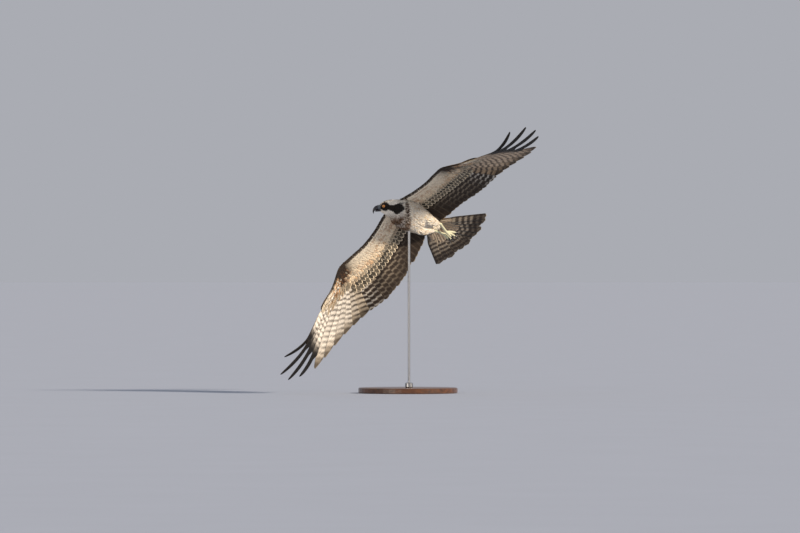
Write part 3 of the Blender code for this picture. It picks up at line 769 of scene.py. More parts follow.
def handVanes(grid, side, lastEnd):
    numbers = np.arange(1, 11)
    start = np.array([primaryLine(k, 0.0) for k in numbers])
    end = np.array([primaryLine(k, 1.0) for k in numbers])
    leaves = np.array([wing["primaries"][k - 1][4] for k in numbers])[:, None]
    along = 1 + (2 * numbers - 1) / 20
    rows = grid["rows"][None, :]
    inside = np.clip(rows / leaves, 0, 1)
    heights = bladeHeight(along[:, None] * np.ones_like(inside), inside, 0)
    beyond = np.clip((rows - leaves) / np.maximum(1 - leaves, 1e-6), 0, 1) * (leaves < 1)
    heights = heights + wing["fingerRise"][side] * beyond ** 2 * (numbers[:, None] - 4) / 5
    # How far each tip is from the next one inwards, across the feather and along it
    length = np.linalg.norm(end - start, axis=1)
    unit = (end - start) / length[:, None]
    back = end - np.concatenate([[lastEnd], end[:-1]])
    across = np.abs(back[:, 0] * unit[:, 1] - back[:, 1] * unit[:, 0])
    slant = np.where(leaves[:, 0] < 1, 0.0, (back * unit).sum(1) / across)
    v = grid["v"][None, :]
    free = np.clip((v - leaves) / np.maximum(1 - leaves, 1e-6), 0, 1) * (leaves < 1)
    finger = np.array([wing["fingerWidth"].get(k, 0.03) for k in numbers])[:, None]
    held = np.array([flight["held"].get(k, 0.0) or 0.85 * across[k - 1] for k in numbers])[:, None]
    narrow = step(0.0, 0.25, free)
    inner = held * (1 - narrow) + 0.56 * finger * narrow
    outer = flight["leading"] * (1 - narrow) + 0.44 * finger * narrow
    taper = np.sqrt(np.clip(1 - 0.97 * np.clip(free - 0.5, 0, None) ** 2 / 0.25, 0, 1))
    outline = np.where(leaves < 1, roundTip(v, 0.995, 0.5) * taper, roundTip(v, 0.95, 0.5))
    reach, run = vaneOutline(grid, length, inner, outer, outline, slant)
    places, metres = layOnWing(grid, side, start, end, reach, run, heights, flight["tilt"], flight["thick"])
    top, low = flightTints("primary", numbers, grid, length, run)
    # The left hand's lower faces take the painted shade and warmth of the hand tones
    return {"places": places, "metres": metres, "top": top, "low": low * flight["handPaintedShade"][side]}


def remiges(side, sideName):
    grid = grids["flight"]
    lastEnd, arm = armVanes(grid, side)
    parts = [arm, handVanes(grid, side, lastEnd)]
    count = wing["secondaries"]
    patches = stripPatches(count + 10, 9)
    parts[0]["patch"], parts[1]["patch"] = patches[:count], patches[count:]
    for part in parts:
        part["mark"], part["strips"] = np.zeros((len(part["places"]), 3)), True
    made = joinVanes(f"flight_feathers_{sideName}", grid, parts, flightPlume, side == -1)
    nodes = [f"primary_{k}_{sideName}" for k in wing["fingerWidth"]]
    return finishPiece(made, "coat_dark", *nodes)


tail = {
    "root": (-0.090, 0.0, 0.004), "start": 0.030, "length": 0.278, "spread": 33.7, "raise": 4.0,
    "fall": 0.012, "round": 0.018, "count": 12, "half": (0.0196, 0.0150), "stack": 0.0009,
    "firstVane": 0.075, "slant": 0.32, "lift": 0.0015,
    "uneven": (0.002, 0.0052),  # how much longer the vanes are than the fan: mean and spread
    "covertHalf": 0.0115, "covertThick": 0.0002, "covertUneven": 0.004,
}


def tailSpot(turn, reach, share, edge):
    away = np.stack([-np.cos(turn), np.sin(turn), np.zeros_like(turn)], -1)
    rise = math.tan(math.radians(tail["raise"])) * reach - tail["fall"] * share * edge ** 2
    up = np.stack([np.zeros_like(rise), np.zeros_like(rise), rise], -1)
    return np.array(tail["root"]) + away * reach[..., None] + up


def layOnTail(grid, place, first, last, across, height, thick, slant=0.0):
    # place runs from -1 to 1 across the fan, first and last are metres from the fan's root
    v, h = grid["v"][None, :], grid["h"][None, :]
    turn = math.radians(tail["spread"]) * place[:, None]
    reach = first[:, None] + ((last - first)[:, None] - slant * np.abs(across)) * v
    share = (reach - tail["start"]) / (tail["length"] - tail["start"])
    centre = tailSpot(turn + 0 * v, reach, np.clip(share, 0, None), place[:, None])
    sideways = np.stack([np.sin(turn), np.cos(turn), 0 * turn], -1)
    places = centre + sideways * across[..., None]
    places[..., 2] += height + h * thick * (1 - 0.6 * v)
    metres = np.stack([np.abs(across), reach - first[:, None]], -1)
    return inRoom(places), metres


def rectrices():
    grid = grids["flight"]
    count = tail["count"]
    place = 2 * (np.arange(count) + 0.5) / count - 1
    first = np.full(count, tail["firstVane"])
    last = tail["length"] + tail["round"] * (1 - np.abs(place)) + rng.normal(*tail["uneven"], count)
    stack = -tail["stack"] * (np.abs(place) * count / 2 - 0.5)[:, None] + tail["lift"]
    u, v = grid["u"][None, :], grid["v"][None, :]
    # The inner vane is the broad one, towards the tail's middle, and each end is square with a blunt point
    wide = np.where(u * np.sign(place)[:, None] < 0, *tail["half"])
    across = wide * u * roundTip(v, 0.972, 0.35)
    places, metres = layOnTail(grid, place, first, last, across, stack, flight["thick"], tail["slant"])
    run = np.broadcast_to(v, across.shape) * (1 - tail["slant"] * np.abs(across) / (last - first)[:, None])
    top, low = flightTints("tail", np.arange(1, count + 1), grid, last - first, run)
    part = {"places": places, "metres": metres, "top": top, "low": low, "mark": np.zeros((count, 3)),
            "patch": stripPatches(count, 6), "strips": True}
    return finishPiece(joinVanes("tail_feathers", grid, [part], flightPlume), "coat_dark", "tail")


# Coverts: rows of overlapping feathers on both faces of the wing

covertRows = {
    # root share, tip share, feathers in the arm, half width, lift of the tip, oval spot, streak
    "under": [
        (0.34, 0.60, 21, 0.0118, 0.0014, 0.95, 0.0), (0.27, 0.505, 22, 0.0110, 0.0018, 0.95, 0.0),
        (0.21, 0.425, 26, 0.0098, 0.0018, 0.55, 0.3), (0.17, 0.370, 32, 0.0086, 0.0016, 0.0, 0.8),
        (0.135, 0.325, 36, 0.0080, 0.0015, 0.0, 0.7), (0.105, 0.285, 40, 0.0076, 0.0014, 0.0, 0.6),
        (0.080, 0.245, 44, 0.0070, 0.0013, 0.0, 0.5), (0.055, 0.210, 46, 0.0066, 0.0012, 0.0, 0.4),
        (0.035, 0.175, 50, 0.0062, 0.0011, 0.0, 0.3), (0.020, 0.140, 52, 0.0058, 0.0010, 0.0, 0.2),
        (0.006, 0.105, 54, 0.0054, 0.0009, 0.0, 0.1), (-0.004, 0.07, 56, 0.0050, 0.0008, 0.0, 0.0),
        (-0.010, 0.042, 60, 0.0046, 0.0006, 0.0, 0.0), (-0.013, 0.022, 64, 0.0042, 0.0004, 0.0, 0.0),
    ],
    "over": [
        (0.33, 0.58, 21, 0.0125, 0.0016, 0.0, 0.0), (0.26, 0.46, 23, 0.0112, 0.0020, 0.0, 0.0),
        (0.205, 0.38, 25, 0.0100, 0.0022, 0.0, 0.0), (0.16, 0.315, 27, 0.0092, 0.0022, 0.0, 0.0),
        (0.12, 0.26, 29, 0.0085, 0.0022, 0.0, 0.0), (0.085, 0.21, 31, 0.0080, 0.0020, 0.0, 0.0),
        (0.055, 0.165, 33, 0.0074, 0.0018, 0.0, 0.0), (0.03, 0.125, 35, 0.0068, 0.0016, 0.0, 0.0),
        (0.012, 0.09, 38, 0.0062, 0.0012, 0.0, 0.0), (-0.004, 0.055, 42, 0.0056, 0.0008, 0.0, 0.0),
    ],
}
handRows = {"share": 0.62, "count": 0.62}  # how much shorter rows are on the hand, and how many feathers


def underTint(along, share):
    # The lining of the wing, by place along it and from front to back
    n = len(along)
    tone = rng.uniform(0.0, 1.0, n)
    tint = mix(np.tile(plumage["cream"], (n, 1)), "buff", (0.15 + 0.4 * tone) * step(0.05, 0.3, share))
    tint = mix(tint, "white", 0.2 * step(0.5, 0.1, along))
    # Rusty streaks that run along the arm, each over several feathers
    waves = np.array([noise.noise(Vector((3.5 * a, 34.0 * s, 3.0))) for a, s in zip(along, share)])
    streaks = step(0.05, 0.32, waves + 0.06 * (tone - 0.5)) * step(0.03, 0.10, share) * step(1.1, 0.95, along)
    tint = mix(tint, "rust", 0.48 * streaks * step(0.36, 0.30, share))
    hand = step(1.0, 1.15, along) * step(1.75, 1.4, along)
    tint = mix(tint, "orange", hand * 0.75 * (tone > 0.40) * step(0.45, 0.2, share))
    patch = np.exp(-((along - 1.06) / 0.19) ** 2) * step(0.30, 0.12, share + 0.10 * (tone - 0.5))
    tint = mix(tint, "dark", np.clip(1.5 * patch, 0, 1))
    return mix(tint, "dark", step(0.050, 0.030, share))


def coverts(side, sideName, faceName):
    face = -1 if faceName == "under" else 1
    grid = grids["covert"]
    parts = []
    for level, (rootShare, tipShare, count, half, lift, spot, streak) in enumerate(covertRows[faceName]):
        offset = 0.5 * (level % 2)
        arm = (np.arange(count) + offset + 0.2) / count
        handCount = int(count * handRows["count"])
        hand = 1.0 + 0.98 * (np.arange(handCount) + offset) / handCount
        along = np.concatenate([arm[arm < 1.0], hand])
        n = len(along)
        onHand = step(0.95, 1.12, along)
        shorter = 1 - (1 - handRows["share"]) * onHand
        jitter = rng.normal(0, 0.025 if 3 <= level < 11 else 0.008, n)
        first = rootShare * shorter
        last = tipShare * shorter + jitter * (tipShare - rootShare) * 3
        slant = -0.012 * (1 - onHand) + rng.normal(0, 0.003 if level < 3 else 0.006, n)
        start, end = bladeSpot(along, first), bladeSpot(along + slant, last)
        wide = np.full(n, half) * (1 - 0.22 * onHand) * rng.uniform(0.93, 1.07, n)
        rows = grid["rows"][None, :]
        shares = first[:, None] + (last - first)[:, None] * rows
        heights = bladeHeight(along[:, None] * np.ones_like(shares), shares, face)
        heights = heights + face * (-0.0008 + (lift + 0.0008) * rows ** 1.3)
        reach = wide[:, None] * grid["u"][None, :] * roundTip(grid["v"], 0.62, 0.55)[None, :]
        run = np.broadcast_to(grid["v"][None, :], reach.shape)
        cup = face * (0.0005 if level < 3 else 0.0003)
        places, metres = layOnWing(grid, side, start, end, reach, run, heights, 0.0, 0.0003, cup)
        middle = (first + last) / 2
        if faceName == "under":
            base = underTint(along, last * 0.8 if level > 2 else middle)
            if level < 3:
                base = mix(base, "ovalEdge", 0.6)
            fading = np.where(along > 1, step(2.0, 1.2, along) * 0.75, 1.0)
            strength = spot * rng.uniform(0.85, 1.0, n) * fading
            mark = np.stack([strength, streak * rng.uniform(0.0, 1.0, n), np.zeros(n)], 1)
            flecks = (rng.uniform(0, 1, n) < 0.4) & (along > 1.1) & (level > 1)
            mark[flecks, 0] = 0.8
        else:
            base = mix(np.tile(plumage["brown"], (n, 1)), "dark", rng.uniform(0.0, 0.8, n))
            mark = np.stack([np.zeros(n), np.zeros(n), np.full(n, 0.75)], 1)
        tint = np.repeat(base[:, None], len(grid["u"]), 1)
        root = onWing(start[:, 0], start[:, 1], heights[:, 0], side)
        parts.append({"places": places, "metres": metres, "top": tint, "low": tint, "mark": mark,
                      "patch": rootPatches(root)})
    made = joinVanes(f"coverts_{faceName}_{sideName}", grid, parts, coatPlume, side == -1)
    return finishPiece(made, "coat_cream" if faceName == "under" else "coat_wing")


# Root and tip in metres from the fan's root, and feathers in the row
tailRows = [(0.110, 0.185, 15), (0.095, 0.165, 14), (0.080, 0.148, 13), (0.065, 0.132, 12),
            (0.050, 0.116, 11)]


def tailCoverts():
    grid = grids["covert"]
    parts = []
    for face in (-1, 1):
        for level, (first, last, n) in enumerate(tailRows):
            place = (2 * (np.arange(n) + 0.5) / n - 1) * (0.92 - 0.02 * level)
            v = grid["v"][None, :]
            lift = face * (0.0018 + 0.0008 * level + 0.002 * (1 - v) ** 2) - 0.0008
            ends = last * (1.03 - 0.12 * np.abs(place)) + rng.normal(0, tail["covertUneven"], n)
            across = tail["covertHalf"] * grid["u"][None, :] * roundTip(v, 0.55, 0.7) * np.ones((n, 1))
            places, metres = layOnTail(grid, place, np.full(n, first), ends, across, lift,
                                       tail["covertThick"])
            # Painted shade: the lower faces are a dark grey-brown, as they lie in shade; the upper ones are
            # the coverts' own brown
            base, second, mark = {-1: ("shade", "tailPale", (0.0, 0.25, 0.0)),
                                  1: ("brown", "dark", (0.0, 0.0, 0.6))}[face]
            share = np.clip(rng.uniform(0, 0.6, n) + 0.4 - 0.1 * level, 0, 1)
            tone = mix(np.tile(plumage[base], (n, 1)), second, share)
            tint = np.repeat(tone[:, None], len(grid["u"]), 1)
            parts.append({"places": places, "metres": metres, "top": tint, "low": tint,
                          "mark": np.tile(mark, (n, 1)), "patch": rootPatches(places[:, 0])})
    return finishPiece(joinVanes("tail_coverts", grid, parts, coatPlume), "coat_cream")


for side, sideName in ((1, "left"), (-1, "right")):
    remiges(side, sideName)
    coverts(side, sideName, "under")
    coverts(side, sideName, "over")
rectrices()
tailCoverts()
print("wings and tail done")


# Body plumage

coat = {
    # distance from the bill's root to feather length, in metres
    "lengths": [(0.0, 0.0032), (0.010, 0.0045), (0.030, 0.0080), (0.055, 0.0120), (0.090, 0.017),
                (0.14, 0.021), (0.30, 0.023)],
    # shares of a feather's length: from one root to the next, half its width and its tip's height
    "spacing": 0.185, "half": 0.19, "lift": 0.065, "crest": 0.9,
    "thighLength": 0.016, "wingFrom": 0.088, "headFrom": -0.034, "tries": 90000,
    "sink": -0.0006, "curl": 6.0, "thick": 0.0002, "crowding": 14.0,
}
billRoot = np.array((0.031, 0.0, -0.003))


def nearSegment(points, a, b):
    a, b = np.array(a), np.array(b)
    share = np.clip((points - a) @ (b - a) / ((b - a) @ (b - a)), 0, 1)
    return np.linalg.norm(points - (a + share[:, None] * (b - a)), axis=1), share


def lieOf(bird, head):
    # Which way the coat lies, in the room, and how much of a thigh a place is; the bird's coat lies
    # back over the head, and down where the throat hangs
    droops = 0.10 + 0.80 * step(-0.010, -0.035, head[:, 2]) * step(-0.05, -0.02, head[:, 0])
    headWay = np.stack([-np.ones_like(droops), 0 * droops, -droops], 1)
    headWay = headWay / np.linalg.norm(headWay, axis=1)[:, None] @ headTurn.T
    front = step(0.050, 0.105, bird[:, 0])
    way = mix(np.tile((-1.0, 0.0, 0.0), (len(bird), 1)), headWay, front)
    thigh = np.zeros(len(bird))
    for hip, heel, _ in legs.values():
        away, share = nearSegment(bird, hip, heel)
        near = step(0.032, 0.020, away) * step(-0.048, -0.085, bird[:, 0])
        line = np.array(heel) - np.array(hip)
        way = mix(way, line / np.linalg.norm(line), near)
        thigh = np.maximum(thigh, near)
    return way @ birdTurn.T, thigh


def scatter():
    # Places all over the skin of the body, each as far from the next as its feathers need
    a, b, c = (skinPlaces[skinFaces[:, k]] for k in range(3))
    area = np.linalg.norm(np.cross(b - a, c - a), axis=1)
    middle = (a + b + c) / 3
    body = np.abs(toBird(middle)[:, 1]) < coat["wingFrom"]
    near = step(0.20, 0.02, np.linalg.norm(toHead(middle) - billRoot, axis=1))
    weight = area * body * (1 + coat["crowding"] * near ** 2)
    face = rng.choice(len(area), coat["tries"], p=weight / weight.sum())
    r, s = rng.uniform(0, 1, (2, coat["tries"]))
    flip = r + s > 1
    r, s = np.where(flip, 1 - r, r), np.where(flip, 1 - s, s)
    place = a[face] + (b - a)[face] * r[:, None] + (c - a)[face] * s[:, None]
    bird, head = toBird(place), toHead(place)
    _, thigh = lieOf(bird, head)
    length = np.interp(np.linalg.norm(head - billRoot, axis=1), *zip(*coat["lengths"]))
    length = length * (1 - thigh) + coat["thighLength"] * thigh
    apart = length * coat["spacing"]
    cell = 0.008
    table, kept = {}, []
    keys = np.floor(place / cell).astype(int)
    around = [(i, j, k) for i in (-1, 0, 1) for j in (-1, 0, 1) for k in (-1, 0, 1)]
    for n, (x, y, z) in enumerate(keys.tolist()):
        clash = False
        for i, j, k in around:
            for other in table.get((x + i, y + j, z + k), ()):
                gap = place[n] - place[other]
                if gap @ gap < apart[n] ** 2:
                    clash = True
                    break
            if clash:
                break
        if not clash:
            table.setdefault((x, y, z), []).append(n)
            kept.append(n)
    return place[kept], face[kept], length[kept]


markings = {
    # Head's frame: the stripe's middle line from the bill through the eye to the neck, with its half width
    "stripe": [
        ((0.040, 0.0, -0.001), 0.0050), ((0.015, 0.019, 0.001), 0.0110), ((0.001, 0.023, -0.005), 0.0098),
        ((-0.012, 0.024, -0.009), 0.0125), ((-0.025, 0.024, -0.012), 0.0180),
        ((-0.037, 0.024, -0.009), 0.0190),
    ],
    "napeLine": [
        ((-0.036, 0.025, 0.002), 0.0100), ((-0.045, 0.019, 0.015), 0.007), ((-0.053, 0.008, 0.023), 0.006),
    ],
    "stripeSoft": 0.0016, "napeSoft": 0.003,
    "eyeMiddle": (0.0175, 0.0170, 0.001), "eyeRing": (0.0185, 0.0150),
    # Bird's frame: the breast band's middle, as x at a y, and its half width
    "band": [(-0.060, 0.060), (-0.044, 0.050), (-0.026, 0.047), (0.009, 0.056), (0.028, 0.064),
             (0.045, 0.070)],
    "bandHalf": 0.016, "backEdge": (0.012, 0.026),
}


def onLine(points, line, soft):
    # 1 inside a line that widens and narrows, 0 outside it
    best = np.full(len(points), -1.0)
    for (a, first), (b, last) in zip(line, line[1:]):
        away, share = nearSegment(points, a, b)
        best = np.maximum(best, first + (last - first) * share - away)
    return step(-soft, soft, best)


def bodyTint(bird, head, tone):
    n = len(bird)
    x, _, z = bird.T
    rows = np.zeros((n, 3))
    # Trunk: creamy white below with faint buff streaks, dark brown above
    tint = mix(rows + plumage["white"], "cream", 0.35 + 0.65 * tone)
    tint = mix(tint, "buff", 0.45 * (tone > 0.8) * step(0.06, 0.02, x))
    low, high = markings["backEdge"]
    back = step(low, high, z + 0.006 * (tone - 0.5) + 0.014 * step(-0.040, -0.085, x))
    brown = mix(rows + plumage["brown"], "dark", tone)
    tint = mix(tint, brown, back)
    middle = np.interp(bird[:, 1], *zip(*markings["band"]))
    band = step(markings["bandHalf"], markings["bandHalf"] * 0.45, np.abs(x - middle) + 0.004 * tone)
    band = band * step(0.020, 0.000, z)
    spots = np.clip(0.65 + 0.8 * (tone - 0.25), 0, 1)
    tint = mix(tint, mix(rows + plumage["band"], "brown", tone), band * spots)
    # Head: white with a streaked forehead, black stripe through the eye, white nape with dark lines
    near = step(-0.060, -0.046, head[:, 0])
    hx, hy, hz = head.T
    crown = mix(rows + plumage["white"], "cream", 0.4 * tone)
    streak = step(0.000, 0.012, hx) * step(0.003, 0.010, hz)
    streak = streak + step(0.0175, 0.0225, hz) * step(-0.03, -0.005, hx)
    crown = mix(crown, "brown", np.clip(streak, 0, 1) * (tone > 0.25) * 0.9)
    hindneck = step(0.016, 0.024, hz) * step(-0.022, -0.040, hx)
    crown = mix(crown, "brown", hindneck * (tone > 0.6) * 0.8)
    throat = step(-0.020, -0.044, hz)
    crown = mix(crown, "band", 0.85 * throat * (0.25 + 0.75 * tone))
    tint = mix(tint, crown, near)
    # The band's front part hangs below the throat
    gorget = step(-0.040, -0.050, hz + 0.006 * tone) * step(-0.085, -0.070, hx) * step(-0.110, -0.095, hz)
    gorget = gorget * (1 - band)
    tint = mix(tint, mix(rows + plumage["band"], "brown", 0.6 * tone), gorget * (0.5 + 0.5 * spots))
    mirrored = np.stack([hx, np.abs(hy), hz], 1)
    stripe = onLine(mirrored, markings["stripe"], markings["stripeSoft"])
    nape = onLine(mirrored, markings["napeLine"], markings["napeSoft"])
    eyeRing = step(*markings["eyeRing"], np.linalg.norm(mirrored - markings["eyeMiddle"], axis=1))
    black = np.maximum.reduce([stripe, 0.9 * nape, eyeRing])
    tint = mix(tint, mix(rows + plumage["black"], "dark", tone), black)
    marks = np.zeros((n, 3))
    marks[:, 0] = 0.75 * band * (tone > 0.45) * (1 - black)
    marks[:, 1] = 0.35 * (tone > 0.75) * (1 - back) * (1 - near) * (1 - black)
    marks[:, 2] = 0.7 * back * (1 - near)
    return tint, marks


def layOnSkin(grid, place, length, lift, outline, lie):
    rows = grid["rows"]
    n = len(place)
    spine, normals, ways = np.empty((3, n, len(rows), 3))
    for i in range(n):
        at = Vector(place[i])
        way = Vector(lie[i])
        before = 0.0
        for k, row in enumerate(rows):
            at = at + way * (length[i] * (row - before))
            before = row
            at, normal, _, _ = skinTree.find_nearest(at)
            way = (way - normal * way.dot(normal)).normalized()
            spine[i, k], normals[i, k], ways[i, k] = at, normal, way
    normals = (normals + normals.mean(1, keepdims=True)) / 2
    normals /= np.linalg.norm(normals, axis=-1, keepdims=True)
    across = np.cross(ways, normals)
    row = np.searchsorted(rows, grid["v"] - 1e-6)
    u, v, h = grid["u"][None, :], grid["v"][None, :], grid["h"][None, :]
    reach = length[:, None] * coat["half"] * outline * u
    rise = coat["sink"] + (lift[:, None] - coat["sink"]) * v ** 1.2
    rise = rise - coat["curl"] * reach ** 2 + h * coat["thick"]
    places = spine[:, row] + across[:, row] * reach[..., None] + normals[:, row] * rise[..., None]
    metres = np.stack([np.abs(reach), np.broadcast_to(v * length[:, None], reach.shape)], -1)
    return places, metres


def bodyCoat():
    grid = grids["body"]
    place, face, length = scatter()
    bird, head = toBird(place), toHead(place)
    lie, _ = lieOf(bird, head)
    lie = lie + rng.normal(0, 0.10, lie.shape)
    n = len(place)
    tone = rng.uniform(0, 1, n)
    tint, mark = bodyTint(bird, head, tone)
    outline = roundTip(grid["v"], 0.45, 0.7)[None, :]
    length = length * rng.uniform(0.9, 1.12, n)
    # The nape's feathers are longer and stand off as a short, shaggy crest
    crest = step(-0.018, -0.034, head[:, 0]) * step(0.004, 0.014, head[:, 2])
    crest = crest * step(-0.075, -0.060, head[:, 0])
    length = length * (1 + coat["crest"] * crest)
    lift = length * (coat["lift"] + 0.22 * crest * tone)
    places, metres = layOnSkin(grid, place, length, lift, outline, lie)
    tints = np.repeat(tint[:, None], len(grid["u"]), 1)
    patch = np.concatenate([skinFlat[face].mean(1), np.full((n, 2), patchWidth)], 1)
    onHead = head[:, 0] > coat["headFrom"]
    both = (("head_plumage", onHead, "coat_head"), ("body_plumage", ~onHead, "coat_cream"))
    for name, chosen, slotName in both:
        part = {"places": places[chosen], "metres": metres[chosen], "top": tints[chosen],
                "low": tints[chosen], "mark": mark[chosen], "patch": patch[chosen]}
        finishPiece(joinVanes(name, grid, [part], coatPlume), slotName)


def paintSkin():
    # The skin wears the coat's own markings: the lining below the wings, brown above them
    bird = toBird(skinPlaces)
    tone = np.array([noise.noise(Vector(place) * 90.0) for place in skinPlaces]) * 0.5 + 0.5
    tint, _ = bodyTint(bird, toHead(skinPlaces), np.clip(tone, 0, 1))
    normals = np.empty(len(skinPlaces) * 3)
    skin.data.vertex_normals.foreach_get("vector", normals)
    above = step(-0.1, 0.1, normals.reshape(-1, 3) @ wingsTurn[:, 2])
    lining = mix(np.tile(plumage["cream"], (len(bird), 1)), "buff", 0.35)
    wings = mix(lining, "brown", above)
    tint = mix(tint, wings, step(coat["wingFrom"] - 0.010, coat["wingFrom"], np.abs(bird[:, 1])))
    layer = skin.data.color_attributes.new("tint", "FLOAT_COLOR", "POINT")
    layer.data.foreach_set("color", np.concatenate([tint, np.ones((len(tint), 1))], 1).ravel())


paintSkin()
bodyCoat()
finishPiece(skin, "coat_cream", "trunk", "neck", "head", "thigh_left", "thigh_right", "wing_arm_left",
            "wing_arm_right", "wing_hand_left", "wing_hand_right")
print("body done")


# Bill, cere and nostrils, in the head's frame

bill = {
    # x, z, half width, half height above and below
    "upper": [
        (0.0290, -0.0012, 0.0094, 0.0108, 0.0074), (0.0350, -0.0008, 0.0090, 0.0112, 0.0073),
        (0.0400, -0.0006, 0.0081, 0.0104, 0.0072), (0.0450, -0.0012, 0.0070, 0.0092, 0.0066),
        (0.0500, -0.0034, 0.0057, 0.0073, 0.0056), (0.0545, -0.0070, 0.0043, 0.0053, 0.0044),
        (0.0572, -0.0115, 0.0030, 0.0037, 0.0033), (0.0584, -0.0162, 0.0018, 0.0022, 0.0020),
        (0.0577, -0.0214, 0.0004, 0.0004, 0.0004),
    ],
    "lower": [
        (0.0290, -0.0116, 0.0080, 0.0040, 0.0046), (0.0400, -0.0114, 0.0066, 0.0038, 0.0040),
        (0.0465, -0.0116, 0.0048, 0.0032, 0.0032), (0.0504, -0.0124, 0.0024, 0.0014, 0.0014),
    ],
    "cere": [
        (0.0285, -0.0012, 0.0098, 0.0114, 0.0078), (0.0325, -0.0010, 0.0097, 0.0119, 0.0078),
        (0.0365, -0.0008, 0.0092, 0.0116, 0.0076), (0.0392, -0.0006, 0.0084, 0.0106, 0.0072),
    ],
    "sides": 28, "rings": 26, "fullness": (1.15, 0.82),
    "nostril": (0.0362, 0.0083, 0.0035), "nostrilSize": (0.0022, 0.0009, 0.0011),
}


def billPart(name, table, material, slotName, *nodes):
    count = bill["rings"]
    last = len(table) - 1
    indexed = [(i, *row) for i, row in enumerate(table)]
    shares = np.linspace(0, last, count)
    rows, ahead = smoothAt(indexed, shares), smoothAt(indexed, np.minimum(shares + 0.1, last))
    behind = smoothAt(indexed, np.maximum(shares - 0.1, 0))
    turns = 2 * math.pi * np.arange(bill["sides"]) / bill["sides"]
    rings = []
    for k in range(count):
        x, z, wide, above, below = rows[k]
        tip = math.atan2(behind[k, 1] - ahead[k, 1], ahead[k, 0] - behind[k, 0])
        # The back of the bill is a narrow ridge, so the section is fuller below
        up = np.where(np.sin(turns) > 0, above, below) * np.sin(turns)
        fullness = np.where(np.sin(turns) > 0, *bill["fullness"])
        side = wide * np.sign(np.cos(turns)) * np.abs(np.cos(turns)) ** fullness
        rings.append(inHead(np.stack([x + up * math.sin(tip), side, z + up * math.cos(tip)], 1)))
    return finishPiece(sleeve(name, rings, material), slotName, *nodes)


def nostrils():
    parts = []
    for side in (1, -1):
        deselect()
        bpy.ops.mesh.primitive_uv_sphere_add(segments=16, ring_count=10, radius=1.0)
        made = bpy.context.object
        x, y, z = bill["nostril"]
        tilt = Matrix.Rotation(math.radians(-28 * side), 4, "Z") @ Matrix.Rotation(math.radians(25), 4, "Y")
        place = Matrix.Translation((x, side * y, z)) @ tilt @ Matrix.Diagonal((*bill["nostrilSize"], 1))
        made.data.transform(headMatrix @ place)
        # Painted shade: the oval is dark to stand for the shade inside the nostril's opening
        made.data.materials.append(lidSkinAndNostrilShade)
        made.data.shade_smooth()
        parts.append(made)
    finishPiece(joinAll("nostrils", parts), "horn")


headMatrix = Matrix((birdTurn @ headTurn).tolist()).to_4x4()
headMatrix.translation = inHead((0, 0, 0))

billPart("bill_upper_horn", bill["upper"], hornBlack, "horn", "bill_upper")
billPart("bill_lower_horn", bill["lower"], hornBlack, "horn", "bill_lower")
billPart("cere", bill["cere"], cereSkin, "horn")
nostrils()


# Eyes: ball with iris and pupil under a wet coat, and a dark lid round each

eye = {
    "place": (0.0150, 0.0108, 0.0030), "radius": 0.0079, "way": (0.36, 0.93, 0.02),  # centre, size and axis
    "pupil": 18.0, "iris": 42.0,  # degrees from the axis
    "lidRadius": 0.0058, "lidThick": 0.0011, "lidOut": 0.0056, "lidStretch": (1.14, 0.90, 0.9),
}


def eyeMaterials():
    iris, shader = newMaterial("amber iris", Roughness=0.25, Coat_Weight=1.0, Coat_Roughness=0.03)
    where = addNode(iris, "ShaderNodeTexCoord")["Object"]
    fleck = addNode(iris, "ShaderNodeTexNoise", Vector=where, Scale=1500.0, Detail=4.0)["Fac"]
    tone = addNode(iris, "ShaderNodeMapRange", Value=fleck, From_Min=0.35, From_Max=0.65)[0]
    base = addNode(iris, "ShaderNodeMix", {"data_type": "RGBA"}, _0=tone, _6=(*colour("#f2a51e"), 1),
                   _7=(*colour("#c9690f"), 1))[2]
    feed(iris, shader, "Base Color", base)
    pupil, _ = newMaterial("black pupil", Base_Color=(0.003, 0.003, 0.003, 1), Roughness=0.1, Coat_Weight=1.0,
                           Coat_Roughness=0.02)
    rim, _ = newMaterial("dark edge of the eyeball", Base_Color=(0.02, 0.014, 0.01, 1), Roughness=0.2,
                         Coat_Weight=1.0, Coat_Roughness=0.03)
    return rim, iris, pupil


def buildEyes():
    looks = eyeMaterials()
    lids = []
    for side, sideName in ((1, "left"), (-1, "right")):
        x, y, z = eye["place"]
        way = Vector((eye["way"][0], side * eye["way"][1], eye["way"][2])).normalized()
        turn = way.to_track_quat("Z", "X").to_matrix().to_4x4()
        place = headMatrix @ Matrix.Translation((x, side * y, z)) @ turn
        deselect()
        bpy.ops.mesh.primitive_uv_sphere_add(segments=40, ring_count=60, radius=eye["radius"])
        ball = bpy.context.object
        ball.name = "eyeball_" + sideName
        for material in looks:
            ball.data.materials.append(material)
        for face in ball.data.polygons:
            off = math.degrees(math.acos(min(1.0, face.center.normalized().z)))
            face.material_index = 2 if off < eye["pupil"] else 1 if off < eye["iris"] else 0
        ball.data.transform(place)
        ball.data.shade_smooth()
        finishPiece(ball, "eye", "eye_" + sideName)
        deselect()
        bpy.ops.mesh.primitive_torus_add(major_segments=48, minor_segments=12, major_radius=eye["lidRadius"],
                                         minor_radius=eye["lidThick"])
        lid = bpy.context.object
        # Longer than high, with the corners drawn out to the front and back
        ahead = turn.inverted() @ Vector((1, 0, 0))
        angle = math.atan2(ahead.y, ahead.x)
        stretch = Matrix.Diagonal((*eye["lidStretch"], 1))
        shape = Matrix.Rotation(angle, 4, "Z") @ stretch @ Matrix.Rotation(-angle, 4, "Z")
        lid.data.transform(place @ Matrix.Translation((0, 0, eye["lidOut"])) @ shape)
        lid.data.materials.append(lidSkinAndNostrilShade)
        lid.data.shade_smooth()
        lids.append(lid)
    finishPiece(joinAll("eyelids", lids), "coat_head")


buildEyes()
print("bill and eyes done")


# Legs, feet and claws, in the bird's frame

